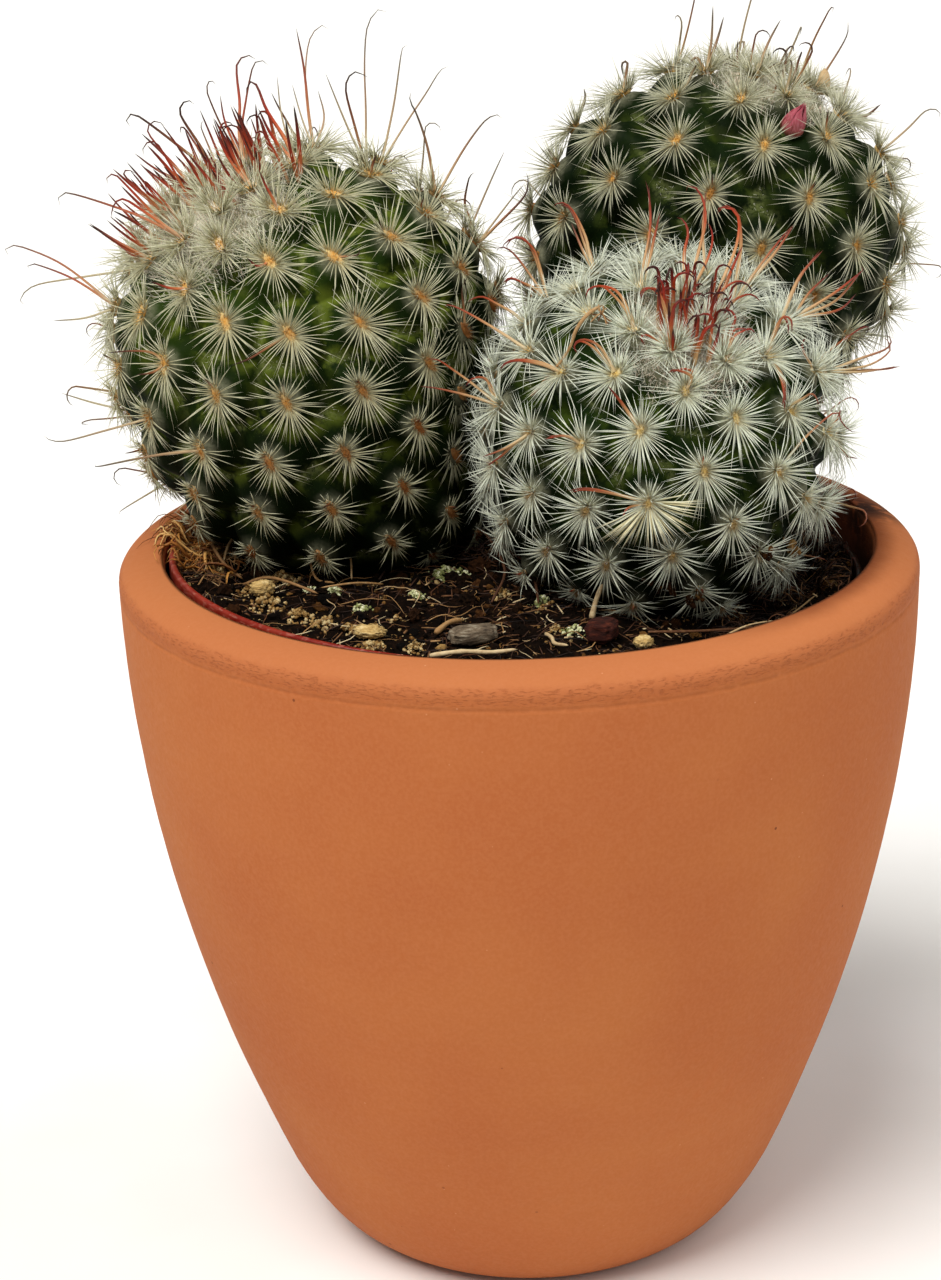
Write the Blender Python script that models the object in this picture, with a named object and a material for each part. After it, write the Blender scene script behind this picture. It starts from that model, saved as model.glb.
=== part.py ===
"""Potted cactus: three globular heads with hooked spines, in potting mix.

The mix fills a thin plastic nursery pot, which stands inside a thick terracotta
cover pot. The origin is the centre of the cover pot's flat base, +Z is up, and
-Y is the front. Sizes below are millimetres, and MM turns them into metres.
"""

import math
import random

import bmesh
import bpy
from mathutils import Matrix, Vector, noise

MM = 0.001

# Terracotta cover pot
RIM_RADIUS = 60.0
POT_HEIGHT = 110.9
BASE_RADIUS = 27.3
LIP_WIDTH = 6.7
LIP_DROP = 3.3
WALL_TOP = POT_HEIGHT - LIP_DROP
CORNER_TOP = 13.2
CORNER_PULL = (33.5, 0.8)
WALL_TAPER = 20.7
WALL_BOW = 1.95
WALL_THICKNESS = 6.7
FLOOR_THICKNESS = 9.0
POT_SIDES = 40

# Plastic nursery pot that stands inside the cover pot
LINER_OFFSET = Vector((-0.4, 0.0))
LINER_BASE_RADIUS = 33.0
LINER_WALL_TOP_RADIUS = 48.6
LINER_LIP_RADIUS = 52.0
LINER_TOP = 111.2
LINER_LIP_HEIGHT = 5.0
LINER_WALL = 1.0
LINER_SIDES = 36
LINER_SLOPE = 0.055
LINER_LEAN = Vector((0.9, 0.436))
DRAIN_HOLES = 4
DRAIN_RADIUS = 4.0
DRAIN_CIRCLE = 18.0

# Potting mix
SOIL_LEVEL = 107.2
SOIL_EDGE_RADIUS = 47.9
SOIL_FALL_RIGHT = 5.5
SOIL_RELIEF = 1.1
SOIL_SIDES = 44
SOIL_RINGS = 11

# Clearance between touching solids
GAP = 0.35
SEAM_GAP = 0.45
SEAM_MARGIN = 3.0
POCKET_CLEARANCE = 0.65

# Phyllotaxis and spines
GOLDEN_ANGLE = math.pi * (3 - math.sqrt(5))
HEXAGON_SHARE = math.sqrt(3) / 2
APEX_SPACING_SHARE = 0.64
APEX_REACH = math.radians(46)
AREA_STEPS = 180
GOLDEN_RUN = 8
SURFACE_STEP = 0.01
ROOT_REACH = 0.85
AREOLE_REACH = 0.19
SPINE_REACH = 0.95
SPINE_LIFT = 1.0
SPINE_GROUND_GAP = 0.9
SPINE_SEAM_GAP = 1.3
AREOLE_CROWN = 0.35
BURIED_BELOW = 2.2
HOOKED_REACH = math.radians(46)
HOOK_LENGTH = 12.5
HOOK_LEAN = 0.65
HOOK_WIDTH = 0.5
HOOK_TAPER = 0.45
HOOK_RADIUS = 1.7
HOOK_TURN = math.radians(165)
HOOK_STEPS = 3
HOOK_NEIGHBOUR_GAP = 1.0


class Head:
    """One globular head. centre, radius and crown give its ball, flattened by crown above its middle, and root
    and root_share its foot in the mix. apex is where it grows from. spacing and rise are its tubercles' width
    and height, turn is the hand of its spirals, and seed varies its hooked spines."""

    def __init__(self, name, centre, radius, crown, root, root_share, apex, spacing, rise, turn, seed):
        self.name = name
        self.centre = Vector(centre)
        self.radius = radius
        self.crown = crown
        self.root = Vector(root)
        self.root_share = root_share
        self.stretch = (self.centre.z - self.root.z) / radius
        self.apex = Vector(apex).normalized()
        self.spacing = spacing
        self.rise = rise
        self.turn = turn
        self.seed = seed
        self.turned = self.apex.to_track_quat("Z", "Y").to_matrix()
        self.seams = []
        self.bud = None

    def drawn(self, z):
        """How much the ball is flattened above its middle, or drawn out below it."""
        return self.stretch if z < 0 else self.crown


LEFT = Head("cactus_head_left", centre=(-30.8, 12.0, 137.4), radius=27.0, crown=1.0,
            root=(-26.0, 12.0, 97.0), root_share=0.95, apex=(-0.44, -0.37, 0.81),
            spacing=9.7, rise=3.1, turn=1, seed=3)
FRONT = Head("cactus_head_front", centre=(21.0, -9.0, 129.2), radius=22.6, crown=0.97,
             root=(19.0, -7.0, 97.0), root_share=0.96, apex=(0.14, -0.62, 0.77),
             spacing=8.8, rise=2.9, turn=-1, seed=11)
BACK = Head("cactus_head_back", centre=(32.7, 42.0, 145.6), radius=26.8, crown=0.93,
            root=(20.0, 24.0, 95.0), root_share=0.58, apex=(0.31, 0.0, 0.95),
            spacing=10.6, rise=3.2, turn=1, seed=7)
HEADS = [LEFT, FRONT, BACK]

# Upright planes that keep neighbouring heads apart: the pair, the normal from the first to the second, and a point
SEAMS = [
    (LEFT, FRONT, (0.927, -0.376), (-5.5, -0.5)),
    (LEFT, BACK, (0.904, 0.427), (1.0, 27.0)),
    (FRONT, BACK, (0.224, 0.975), (25.0, 13.0)),
]

# Loose pieces that lie on the mix: name, place, half sizes, turn in degrees, colour
LOOSE_PIECES = [
    ("bark_chip_grey", (-6.0, -37.6), (5.0, 2.4, 1.5), 14, (0.30, 0.26, 0.21, 1)),
    ("bark_chip_brown", (11.0, -37.2), (3.6, 3.0, 1.8), 70, (0.17, 0.06, 0.035, 1)),
    ("pale_grain_left", (-37.4, -16.6), (2.2, 1.8, 1.5), 20, (0.62, 0.50, 0.30, 1)),
    ("pale_grain_middle", (-21.0, -34.2), (3.2, 1.8, 1.3), -12, (0.60, 0.49, 0.31, 1)),
    ("pale_grain_right", (17.0, -39.2), (1.9, 1.6, 1.3), 35, (0.66, 0.62, 0.52, 1)),
]
LOOSE_POINTS = 16
LOOSE_BED_BLEND = 3.0

# Pink flower bud between two tubercles of the back head
BUD_DIRECTION = Vector((0.321, -0.618, 0.718))
BUD_LENGTH = 6.6
BUD_RADIUS = 1.8
BUD_SEAT = 0.7
BUD_OUTLINE = ((0.10, 0.28), (0.22, 0.52), (0.40, 0.92), (0.58, 1.0), (0.78, 0.74), (0.92, 0.38))
BUD_PETALS = 5
BUD_CLEARANCE = 1.1


def smooth(x):
    """0 below 0, 1 above 1, and an even ease between."""
    x = max(0.0, min(1.0, x))
    return x * x * (3 - 2 * x)


def clear_scene():
    for obj in list(bpy.data.objects):
        bpy.data.objects.remove(obj)


def material(name, colour, roughness):
    mat = bpy.data.materials.new(name)
    mat.use_nodes = True
    shader = mat.node_tree.nodes["Principled BSDF"]
    shader.inputs["Base Color"].default_value = colour
    shader.inputs["Roughness"].default_value = roughness
    shader.inputs["Metallic"].default_value = 0.0
    return mat


def add_object(name, bm, mat, shade_angle=None):
    """Turns a bmesh in millimetres into an object in metres."""
    bmesh.ops.scale(bm, vec=(MM, MM, MM), verts=bm.verts)
    mesh = bpy.data.meshes.new(name)
    bm.to_mesh(mesh)
    bm.free()
    if shade_angle is not None:
        mesh.shade_smooth()
        mesh.set_sharp_from_angle(angle=math.radians(shade_angle))
    obj = bpy.data.objects.new(name, mesh)
    bpy.context.scene.collection.objects.link(obj)
    obj.data.materials.append(mat)
    return obj


def mesh_of(points, faces):
    bm = bmesh.new()
    verts = [bm.verts.new(p) for p in points]
    for face in faces:
        bm.faces.new([verts[i] for i in face])
    return bm


def turned(profile, sides, centre=Vector((0.0, 0.0))):
    """A solid of revolution from (radius, z) points that start and end on the axis."""
    bm = bmesh.new()
    verts = [bm.verts.new((r, 0, z)) for r, z in profile]
    edges = [bm.edges.new(pair) for pair in zip(verts, verts[1:])]
    bmesh.ops.spin(bm, geom=verts + edges, cent=(0, 0, 0), axis=(0, 0, 1), angle=2 * math.pi, steps=sides)
    bmesh.ops.remove_doubles(bm, verts=bm.verts, dist=0.001)
    bmesh.ops.recalc_face_normals(bm, faces=bm.faces)
    bmesh.ops.translate(bm, vec=(centre.x, centre.y, 0), verts=bm.verts)
    return bm


# Pots

def wall_radius(z):
    """Outer radius of the cover pot's bowed wall at height z, above the rounded bottom corner."""
    share = (WALL_TOP - z) / (WALL_TOP - CORNER_TOP)
    return RIM_RADIUS - WALL_TAPER * max(0.0, share) ** WALL_BOW


def corner_points(start, pull, end, count):
    """A quadratic curve from start to end, both left out."""
    found = []
    for i in range(1, count):
        t = i / count
        a, b, c = (1 - t) ** 2, 2 * t * (1 - t), t * t
        found.append(tuple(a * s + b * p + c * e for s, p, e in zip(start, pull, end)))
    return found


def inner_radius(z):
    return wall_radius(z) - WALL_THICKNESS


def cover_pot():
    profile = [(0.0, 0.0), (BASE_RADIUS, 0.0)]
    profile += corner_points((BASE_RADIUS, 0.0), CORNER_PULL, (wall_radius(CORNER_TOP), CORNER_TOP), 4)
    wall_steps = 6
    for i in range(wall_steps + 1):
        z = CORNER_TOP + (WALL_TOP - CORNER_TOP) * i / wall_steps
        profile.append((wall_radius(z), z))
    lip_steps = 4
    for i in range(1, lip_steps + 1):
        t = 0.5 * math.pi * i / lip_steps
        profile.append((RIM_RADIUS - LIP_WIDTH + LIP_WIDTH * math.cos(t), WALL_TOP + LIP_DROP * math.sin(t)))
    inner_bottom = FLOOR_THICKNESS + 5.0
    for z in (POT_HEIGHT - 1.6, WALL_TOP - 3.0, 78.0, 52.0, 30.0, inner_bottom):
        profile.append((inner_radius(min(z, WALL_TOP)) - 0.25, z))
    floor_radius = inner_radius(inner_bottom) - 7.0
    profile += [(floor_radius + 2.4, FLOOR_THICKNESS + 1.2), (floor_radius, FLOOR_THICKNESS), (0.0, FLOOR_THICKNESS)]
    clay = material("terracotta", (0.56, 0.22, 0.095, 1), 0.85)
    add_object("cover_pot_terracotta", turned(profile, POT_SIDES), clay, 40)


def liner_floor_z():
    """Where the nursery pot's bottom edge meets the cover pot's inner wall."""
    needed = LINER_BASE_RADIUS + LINER_OFFSET.length + GAP + 0.25
    z = FLOOR_THICKNESS
    while inner_radius(z) * math.cos(math.pi / POT_SIDES) < needed:
        z += 0.1
    return z


def liner_radius(z):
    """Outer radius of the nursery pot's straight wall."""
    low, high = liner_floor_z(), LINER_TOP - LINER_LIP_HEIGHT
    return LINER_BASE_RADIUS + (LINER_WALL_TOP_RADIUS - LINER_BASE_RADIUS) * (z - low) / (high - low)


def sloped(point):
    """A height in the nursery pot once its soft wall is pushed down at the right, most at the rim."""
    floor = liner_floor_z()
    lowered = LINER_SLOPE * (point.xy.dot(LINER_LEAN) + LINER_LIP_RADIUS)
    return point.z - lowered * (point.z - floor) / (LINER_TOP - floor)


def nursery_pot():
    floor, lip = liner_floor_z(), LINER_TOP - LINER_LIP_HEIGHT
    profile = [
        (0.0, floor),
        (LINER_BASE_RADIUS - 1.0, floor),
        (LINER_BASE_RADIUS, floor + 1.0),
        (LINER_WALL_TOP_RADIUS, lip),
        (LINER_LIP_RADIUS - 0.3, lip),
        (LINER_LIP_RADIUS, lip + 0.4),
        (LINER_LIP_RADIUS, LINER_TOP - 0.4),
        (LINER_LIP_RADIUS - 0.4, LINER_TOP),
        (LINER_LIP_RADIUS - LINER_WALL, LINER_TOP),
        (LINER_LIP_RADIUS - LINER_WALL - 0.4, LINER_TOP - 0.4),
        (LINER_LIP_RADIUS - LINER_WALL - 0.4, lip + LINER_WALL),
        (LINER_WALL_TOP_RADIUS - LINER_WALL, lip + LINER_WALL),
        (liner_radius(floor + LINER_WALL) - LINER_WALL, floor + LINER_WALL),
        (0.0, floor + LINER_WALL),
    ]
    plastic = material("nursery_plastic", (0.24, 0.035, 0.022, 1), 0.35)
    bm = turned(profile, LINER_SIDES, LINER_OFFSET)
    for vert in bm.verts:
        vert.co.z = sloped(vert.co)
    liner = add_object("nursery_pot", bm, plastic, 30)
    cutters = bmesh.new()
    for i in range(DRAIN_HOLES):
        angle = 2 * math.pi * (i + 0.5) / DRAIN_HOLES
        place = Vector((math.cos(angle) * DRAIN_CIRCLE + LINER_OFFSET.x, math.sin(angle) * DRAIN_CIRCLE, floor))
        bmesh.ops.create_cone(cutters, cap_ends=True, segments=10, radius1=DRAIN_RADIUS, radius2=DRAIN_RADIUS,
                              depth=4 * LINER_WALL, matrix=Matrix.Translation(place))
    cut(liner, add_object("drain_cutter", cutters, plastic))


def cut(obj, cutter):
    """Takes cutter out of obj, and leaves the cutter in the file as a hidden helper."""
    modifier = obj.modifiers.new("cut " + cutter.name, "BOOLEAN")
    modifier.operation = "DIFFERENCE"
    modifier.solver = "EXACT"
    modifier.object = cutter
    cutter.hide_render = True
    cutter.display_type = "WIRE"


# Potting mix

def rough_height(x, y):
    """The mix's surface before the loose pieces' beds are pressed into it."""
    fall = SOIL_FALL_RIGHT * smooth((x - 8.0) / 38.0)
    lumps = noise.noise(Vector((x / 12.0, y / 12.0, 2.0))) + 0.6 * noise.noise(Vector((x / 6.5, y / 6.5, 7.0)))
    edge = smooth((SOIL_EDGE_RADIUS - math.hypot(x - LINER_OFFSET.x, y)) / 6.0)
    return SOIL_LEVEL - fall + SOIL_RELIEF * lumps * edge


def soil_height(x, y):
    height = rough_height(x, y)
    for _, place, half, _, _ in LOOSE_PIECES:
        away = math.hypot(x - place[0], y - place[1]) - max(half)
        if away < LOOSE_BED_BLEND:
            bed = rough_height(*place)
            height += (bed - height) * smooth(1 - away / LOOSE_BED_BLEND)
    return height


def mix_radius(z):
    """How far the mix reaches at height z, inside the nursery pot's wall."""
    wall = liner_radius(min(z, LINER_TOP - LINER_LIP_HEIGHT)) - LINER_WALL - GAP
    return min(SOIL_EDGE_RADIUS, wall * math.cos(math.pi / LINER_SIDES))


def soil():
    """The mix: a floor, a side, rings of the uneven top, and a pocket for each head."""
    floor = liner_floor_z() + LINER_WALL + GAP
    points, faces = [(LINER_OFFSET.x, 0.0, floor)], []
    for ring in range(SOIL_RINGS + 1):
        reach = SOIL_EDGE_RADIUS * (1 - max(0, ring - 1) / SOIL_RINGS)
        for k in range(SOIL_SIDES):
            angle = 2 * math.pi * k / SOIL_SIDES
            across, along = math.cos(angle), math.sin(angle)
            z = soil_height(LINER_OFFSET.x + reach * across, reach * along) if ring else floor
            radius = min(reach, mix_radius(z))
            points.append((LINER_OFFSET.x + radius * across, radius * along, z))
    points.append((LINER_OFFSET.x, 0.0, soil_height(LINER_OFFSET.x, 0.0)))
    for k in range(SOIL_SIDES):
        after = (k + 1) % SOIL_SIDES
        faces.append((0, 1 + after, 1 + k))
        for ring in range(SOIL_RINGS):
            a, b = 1 + ring * SOIL_SIDES, 1 + (ring + 1) * SOIL_SIDES
            faces.append((a + k, a + after, b + after))
            faces.append((a + k, b + after, b + k))
        last = 1 + SOIL_RINGS * SOIL_SIDES
        faces.append((last + k, last + after, len(points) - 1))
    mix = add_object("potting_mix", mesh_of(points, faces), material("potting_mix", (0.035, 0.022, 0.015, 1), 0.95))
    for head in HEADS:
        cut(mix, add_object("pocket_" + head.name, pocket_mesh(head), mix.data.materials[0]))


def loose_piece(name, place, half, turn, colour, seed):
    """An irregular chip or grain that lies on its bed."""
    rng = random.Random(seed)
    bm = bmesh.new()
    for _ in range(LOOSE_POINTS):
        way = Vector((rng.uniform(-1, 1), rng.uniform(-1, 1), rng.uniform(-1, 1))).normalized()
        way *= rng.uniform(0.8, 1.0)
        bm.verts.new((way.x * half[0], way.y * half[1], max(-0.7, way.z) * half[2]))
    hull = bmesh.ops.convex_hull(bm, input=bm.verts)
    bmesh.ops.delete(bm, geom=hull["geom_interior"], context="VERTS")
    lowest = min(v.co.z for v in bm.verts)
    bed = max(soil_height(place[0] + dx, place[1] + dy) for dx in (-3, 0, 3) for dy in (-2, 0, 2))
    spin = Matrix.Rotation(math.radians(turn), 4, "Z")
    bmesh.ops.transform(bm, matrix=Matrix.Translation((place[0], place[1], bed + GAP - lowest)) @ spin, verts=bm.verts)
    add_object(name, bm, material(name, colour, 0.9))


# Cactus heads

def spacing_at(head, theta):
    """Areole spacing grows from the apex down to its full value on the head's shoulder."""
    return head.spacing * (APEX_SPACING_SHARE + (1 - APEX_SPACING_SHARE) * smooth(theta / APEX_REACH))


def drawn_out(head, local):
    """A direction on the unit ball, as a world point on the ball with its lower half drawn down."""
    way = head.turned @ local
    return Vector((way.x, way.y, way.z * head.drawn(way.z)))


def drawn_back(head, point):
    """The direction, in the head's own frame, of a world point on or near the drawn-out ball."""
    way = Vector((point.x, point.y, point.z / head.drawn(point.z)))
    return (head.turned.transposed() @ way).normalized()


def polar(theta, phi):
    return Vector((math.sin(theta) * math.cos(phi), math.sin(theta) * math.sin(phi), math.cos(theta)))


def areole_directions(head):
    """Areoles from the apex down at the golden angle, as unit vectors with the apex along +Z. Areole n lies
    where the wedge at its own angle holds n areoles' worth of the drawn-out body's surface."""
    width = math.pi / AREA_STEPS
    directions, finished, n = [], 0, 0
    while finished < GOLDEN_RUN:
        phi = head.turn * n * GOLDEN_ANGLE
        held = 0.0
        for i in range(AREA_STEPS):
            theta = (i + 0.5) * width
            way = head.turned @ polar(theta, phi)
            drawn = math.hypot(head.drawn(way.z) * math.hypot(way.x, way.y), way.z)
            band = 2 * math.pi * head.radius ** 2 * drawn * math.sin(theta) * width
            share = band / (HEXAGON_SHARE * spacing_at(head, theta) ** 2)
            if held + share > n + 0.5:
                directions.append(polar((i + (n + 0.5 - held) / share) * width, phi))
                finished = 0
                break
            held += share
        else:
            finished += 1
        n += 1
    return directions


def cells(head, directions):
    """Directions of the cells' corners, and for each areole its ring of corners. The convex hull of the areoles
    on the drawn-out ball joins neighbours, and each of its faces has a corner in its middle."""
    bm = bmesh.new()
    for way in directions:
        bm.verts.new(drawn_out(head, way))
    bmesh.ops.convex_hull(bm, input=bm.verts)
    bm.verts.index_update()
    bm.faces.index_update()
    corners = [drawn_back(head, face.calc_center_median()) for face in bm.faces]
    rings = []
    for v, way in zip(bm.verts, directions):
        side = way.orthogonal().normalized()
        ahead = way.cross(side)
        around = [(math.atan2(corners[f.index].dot(ahead), corners[f.index].dot(side)), f.index)
                  for f in v.link_faces]
        rings.append([index for _, index in sorted(around)])
    bm.free()
    return corners, rings


def drawn_point(head, local):
    """The smooth body before its neighbours press on it: a ball whose lower half runs down to its root."""
    way = head.turned @ local
    down = smooth(-way.z / ROOT_REACH)
    across = head.radius * (1 + (head.root_share - 1) * down)
    middle = head.centre.lerp(head.root, down)
    return Vector((middle.x + way.x * across, middle.y + way.y * across,
                   head.centre.z + drawn_out(head, local).z * head.radius))


def outward(head, local):
    """The smooth body's outward normal, from two short steps along its surface."""
    side = local.orthogonal().normalized()
    ahead = local.cross(side)
    here = drawn_point(head, local)
    step_side = drawn_point(head, (local + side * SURFACE_STEP).normalized()) - here
    step_ahead = drawn_point(head, (local + ahead * SURFACE_STEP).normalized()) - here
    return step_side.cross(step_ahead).normalized()


def body_point(head, local, height, seam_gap=SEAM_GAP):
    """A point over the head's body: direction in the head's own frame, and height along the normal."""
    return kept_apart(head, drawn_point(head, local) + outward(head, local) * height, seam_gap)


def kept_apart(head, point, seam_gap):
    """Presses a point smoothly back behind the planes between this head and its neighbours."""
    for normal, level in head.seams:
        depth = level - point.dot(normal)
        if depth < SEAM_MARGIN:
            room = SEAM_MARGIN - seam_gap
            pressed = seam_gap + room * math.exp((depth - SEAM_MARGIN) / room)
            point = point - normal * (pressed - depth)
    return point


def set_seams():
    for first, second, normal, place in SEAMS:
        way = Vector((*normal, 0)).normalized()
        level = way.dot(Vector((*place, 0)))
        first.seams.append((way, level))
        second.seams.append((-way, -level))


def ground(x, y):
    """The height that spines stay above: the mix, the nursery pot's rim or the cover pot's rim."""
    if math.hypot(x - LINER_OFFSET.x, y) < SOIL_EDGE_RADIUS - 0.5:
        return soil_height(x, y)
    return POT_HEIGHT if math.hypot(x, y) < RIM_RADIUS + 2 else 0.0


def rise_share(point):
    """Tubercles fade out where the body goes into the mix."""
    return smooth((point.z - ground(point.x, point.y) - 1.2) / 4.0)


def raised(head, local, height, clearance=0.0, seam_gap=SEAM_GAP):
    """A point on a tubercle, which stands its full height only well above the mix."""
    share = rise_share(body_point(head, local, 0))
    return body_point(head, local, height * share + clearance, seam_gap)


def between(a, b, share):
    return (a + (b - a) * share).normalized()


def set_bud():
    """The bud stands in the pit between three tubercles, over the nearest corner of their cells."""
    corners, _ = cells(BACK, areole_directions(BACK))
    wanted = BACK.turned.transposed() @ BUD_DIRECTION.normalized()
    corner = max(corners, key=wanted.dot)
    BACK.bud = (body_point(BACK, corner, BUD_SEAT), outward(BACK, corner))


def in_the_way(head, point):
    """True where a spine would meet the mix, a pot, the bud or the plane to the next head."""
    if point.z < ground(point.x, point.y) + SPINE_GROUND_GAP:
        return True
    if any(level - point.dot(normal) < SPINE_SEAM_GAP for normal, level in head.seams):
        return True
    if head.bud:
        start, way = head.bud
        along = max(-3.0, min(BUD_LENGTH, (point - start).dot(way)))
        return (point - start - way * along).length < BUD_RADIUS + BUD_CLEARANCE
    return False


def hook_path(head, way, root):
    """Centre points of a hooked central spine: straight out, leaning to the apex, then round its hook."""
    normal = outward(head, way)
    toward = head.apex - normal * head.apex.dot(normal)
    toward = toward.normalized() if toward.length > 0.05 else normal.orthogonal().normalized()
    near_apex = smooth(1.6 - head.apex.angle(normal) / math.radians(40))
    rng = random.Random(round(1000 * (way.x + 3 * way.y + 7 * way.z)) + head.seed)
    lean = HOOK_LEAN * (1 - near_apex) + rng.uniform(-0.15, 0.15)
    aim = (normal + toward * lean).normalized()
    length = HOOK_LENGTH * (0.75 + 0.25 * near_apex) * rng.uniform(0.85, 1.15)
    bend = (aim * aim.dot(toward) - toward).normalized()
    bend = Matrix.Rotation(rng.uniform(-0.6, 0.6), 3, aim) @ bend
    path = [root, root + aim * length]
    for step in range(1, HOOK_STEPS + 1):
        turn = HOOK_TURN * step / HOOK_STEPS
        path.append(path[1] + (aim * math.sin(turn) + bend * (1 - math.cos(turn))) * HOOK_RADIUS)
    return path


def spread(path):
    """Points along a path, close enough together to compare two paths."""
    return [a.lerp(b, i / 6) for a, b in zip(path, path[1:]) for i in range(6)] + [path[-1]]


def closest(path, others):
    """The shortest distance from the free part of a path to any of the other paths' points."""
    own = spread(path)[2:]
    return min((a - b).length for a in own for b in others) if others else 1e9


def hook_rings(path, root):
    """Three-sided rings round the path's points up to its tip, which keep the root triangle's turn."""
    across = root[0] - sum(root, Vector()) / 3
    normal = (root[1] - root[0]).cross(root[2] - root[0])
    third = math.copysign(2 * math.pi / 3, normal.dot(path[1] - path[0]))
    rings = []
    for i in range(1, len(path) - 1):
        ahead = (path[i + 1] - path[i - 1]).normalized()
        across = (across - ahead * across.dot(ahead)).normalized()
        width = HOOK_WIDTH * (1 - HOOK_TAPER * i / len(path))
        rings.append([path[i] + Matrix.Rotation(third * k, 3, ahead) @ across * width for k in range(3)])
    return rings


def wants_hook(head, index, way):
    """Central spines stand on most areoles near the apex and on every third one lower down."""
    if head.apex.angle(head.turned @ way) < HOOKED_REACH:
        return index % 4 != 3
    return index % 3 == 0


class Areole:
    """One cell of a head: its ring of corners, its areole's ring and centre, and the tips of its spines."""

    def __init__(self, head, index, way, ring, corners):
        self.ring = ring
        self.n = len(ring)
        self.top = raised(head, way, head.rise + AREOLE_CROWN)
        self.buried = self.top.z < ground(self.top.x, self.top.y) + BURIED_BELOW
        self.tips = [None] * self.n
        self.hook_at = None
        self.path = None
        if self.buried:
            return
        ways = [corners[c] for c in ring]
        middles = [(a + b).normalized() for a, b in zip(ways, ways[1:] + ways[:1])]
        self.rim = [raised(head, between(way, middle, AREOLE_REACH), head.rise) for middle in middles]
        self.tips = [spine_tip(head, way, corner, self.top) for corner in ways]
        if wants_hook(head, index, way):
            self.hook_at = max(range(self.n), key=lambda j: (head.turned @ ways[j]).dot(head.apex))
            self.path = hook_path(head, way, sum(self.root(self.hook_at), Vector()) / 3)

    def root(self, j):
        """The triangle of the areole that spine j grows from."""
        return [self.top, self.rim[j - 1], self.rim[j]]

    def spines(self, but=None):
        """Points along this areole's radial spines."""
        return [p for j, tip in enumerate(self.tips) if tip and j != but
                for p in spread([sum(self.root(j), Vector()) / 3, tip])]


def spine_tip(head, way, corner, root):
    """The tip of a radial spine that lies over its own cell, drawn back until it is clear, or None."""
    full = body_point(head, between(way, corner, SPINE_REACH), head.rise + SPINE_LIFT)
    for share in (1.0, 0.85, 0.7, 0.55):
        tip = root.lerp(full, share)
        if not in_the_way(head, tip):
            return tip
    return None


def keep_clear_hooks(head, areoles):
    """Leaves out each hook that would meet the surroundings, a radial spine or a hook kept before it."""
    near = [(a, a.top) for a in areoles if not a.buried]
    kept = []
    for areole in areoles:
        if areole.path is None:
            continue
        reach = HOOK_LENGTH + 2 * HOOK_RADIUS + head.spacing
        around = [a for a, top in near if (top - areole.top).length < reach]
        others = [p for a in around if a is not areole for p in a.spines()]
        others += [p for p in areole.spines(but=areole.hook_at)[3:]]
        others += [p for path in kept for p in spread(path)]
        blocked = any(in_the_way(head, p) for p in spread(areole.path)[3:])
        if blocked or closest(areole.path, others) < HOOK_NEIGHBOUR_GAP:
            areole.path = None
        else:
            kept.append(areole.path)


def head_mesh(head):
    """The body with a tubercle in each areole's cell, and on each tubercle a star of spines."""
    directions = areole_directions(head)
    corners, rings = cells(head, directions)
    areoles = [Areole(head, i, way, ring, corners) for i, (way, ring) in enumerate(zip(directions, rings))]
    keep_clear_hooks(head, areoles)
    points = [body_point(head, corner, 0) for corner in corners]
    faces = []

    def add(*new):
        points.extend(new)
        return list(range(len(points) - len(new), len(points)))

    for areole in areoles:
        ring, n = areole.ring, areole.n
        centre, = add(areole.top)
        if areole.buried:
            faces += [(centre, ring[j], ring[(j + 1) % n]) for j in range(n)]
            continue
        rim = add(*areole.rim)
        for j in range(n):
            after = (j + 1) % n
            faces += [(ring[j], ring[after], rim[j]), (ring[after], rim[after], rim[j])]
            root = [centre, rim[j - 1], rim[j]]
            if areole.path and j == areole.hook_at:
                last = root
                for spots in hook_rings(areole.path, areole.root(j)):
                    after_ring = add(*spots)
                    faces += tube_faces(points, last, after_ring)
                    last = after_ring
                tip, = add(areole.path[-1])
                faces += [(last[k], last[(k + 1) % 3], tip) for k in range(3)]
            elif areole.tips[j]:
                tip, = add(areole.tips[j])
                faces += [(root[k], root[(k + 1) % 3], tip) for k in range(3)]
            else:
                faces.append(tuple(root))
    return mesh_of(points, faces)


def tube_faces(points, low, high):
    """The six faces between two rings of three points, each pair split along its shorter diagonal."""
    found = []
    for k in range(3):
        after = (k + 1) % 3
        rising = (points[low[k]] - points[high[after]]).length
        falling = (points[low[after]] - points[high[k]]).length
        if rising < falling:
            found += [(low[k], low[after], high[after]), (low[k], high[after], high[k])]
        else:
            found += [(low[k], low[after], high[k]), (low[after], high[after], high[k])]
    return found


def pocket_mesh(head):
    """The hollow that a head's foot stands in: its body without spines, a clearance larger. Where two heads
    press together their hollows run into each other."""
    directions = areole_directions(head)
    corners, rings = cells(head, directions)
    points = [body_point(head, corner, POCKET_CLEARANCE, -SEAM_GAP) for corner in corners]
    faces = []
    for way, ring in zip(directions, rings):
        points.append(raised(head, way, head.rise + AREOLE_CROWN, POCKET_CLEARANCE, -SEAM_GAP))
        faces += [(len(points) - 1, ring[j], ring[(j + 1) % len(ring)]) for j in range(len(ring))]
    return mesh_of(points, faces)


def cactus_heads():
    skin = material("cactus_skin", (0.045, 0.12, 0.035, 1), 0.5)
    for head in HEADS:
        bm = head_mesh(head)
        bmesh.ops.recalc_face_normals(bm, faces=bm.faces)
        add_object(head.name, bm, skin, 35)


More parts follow.
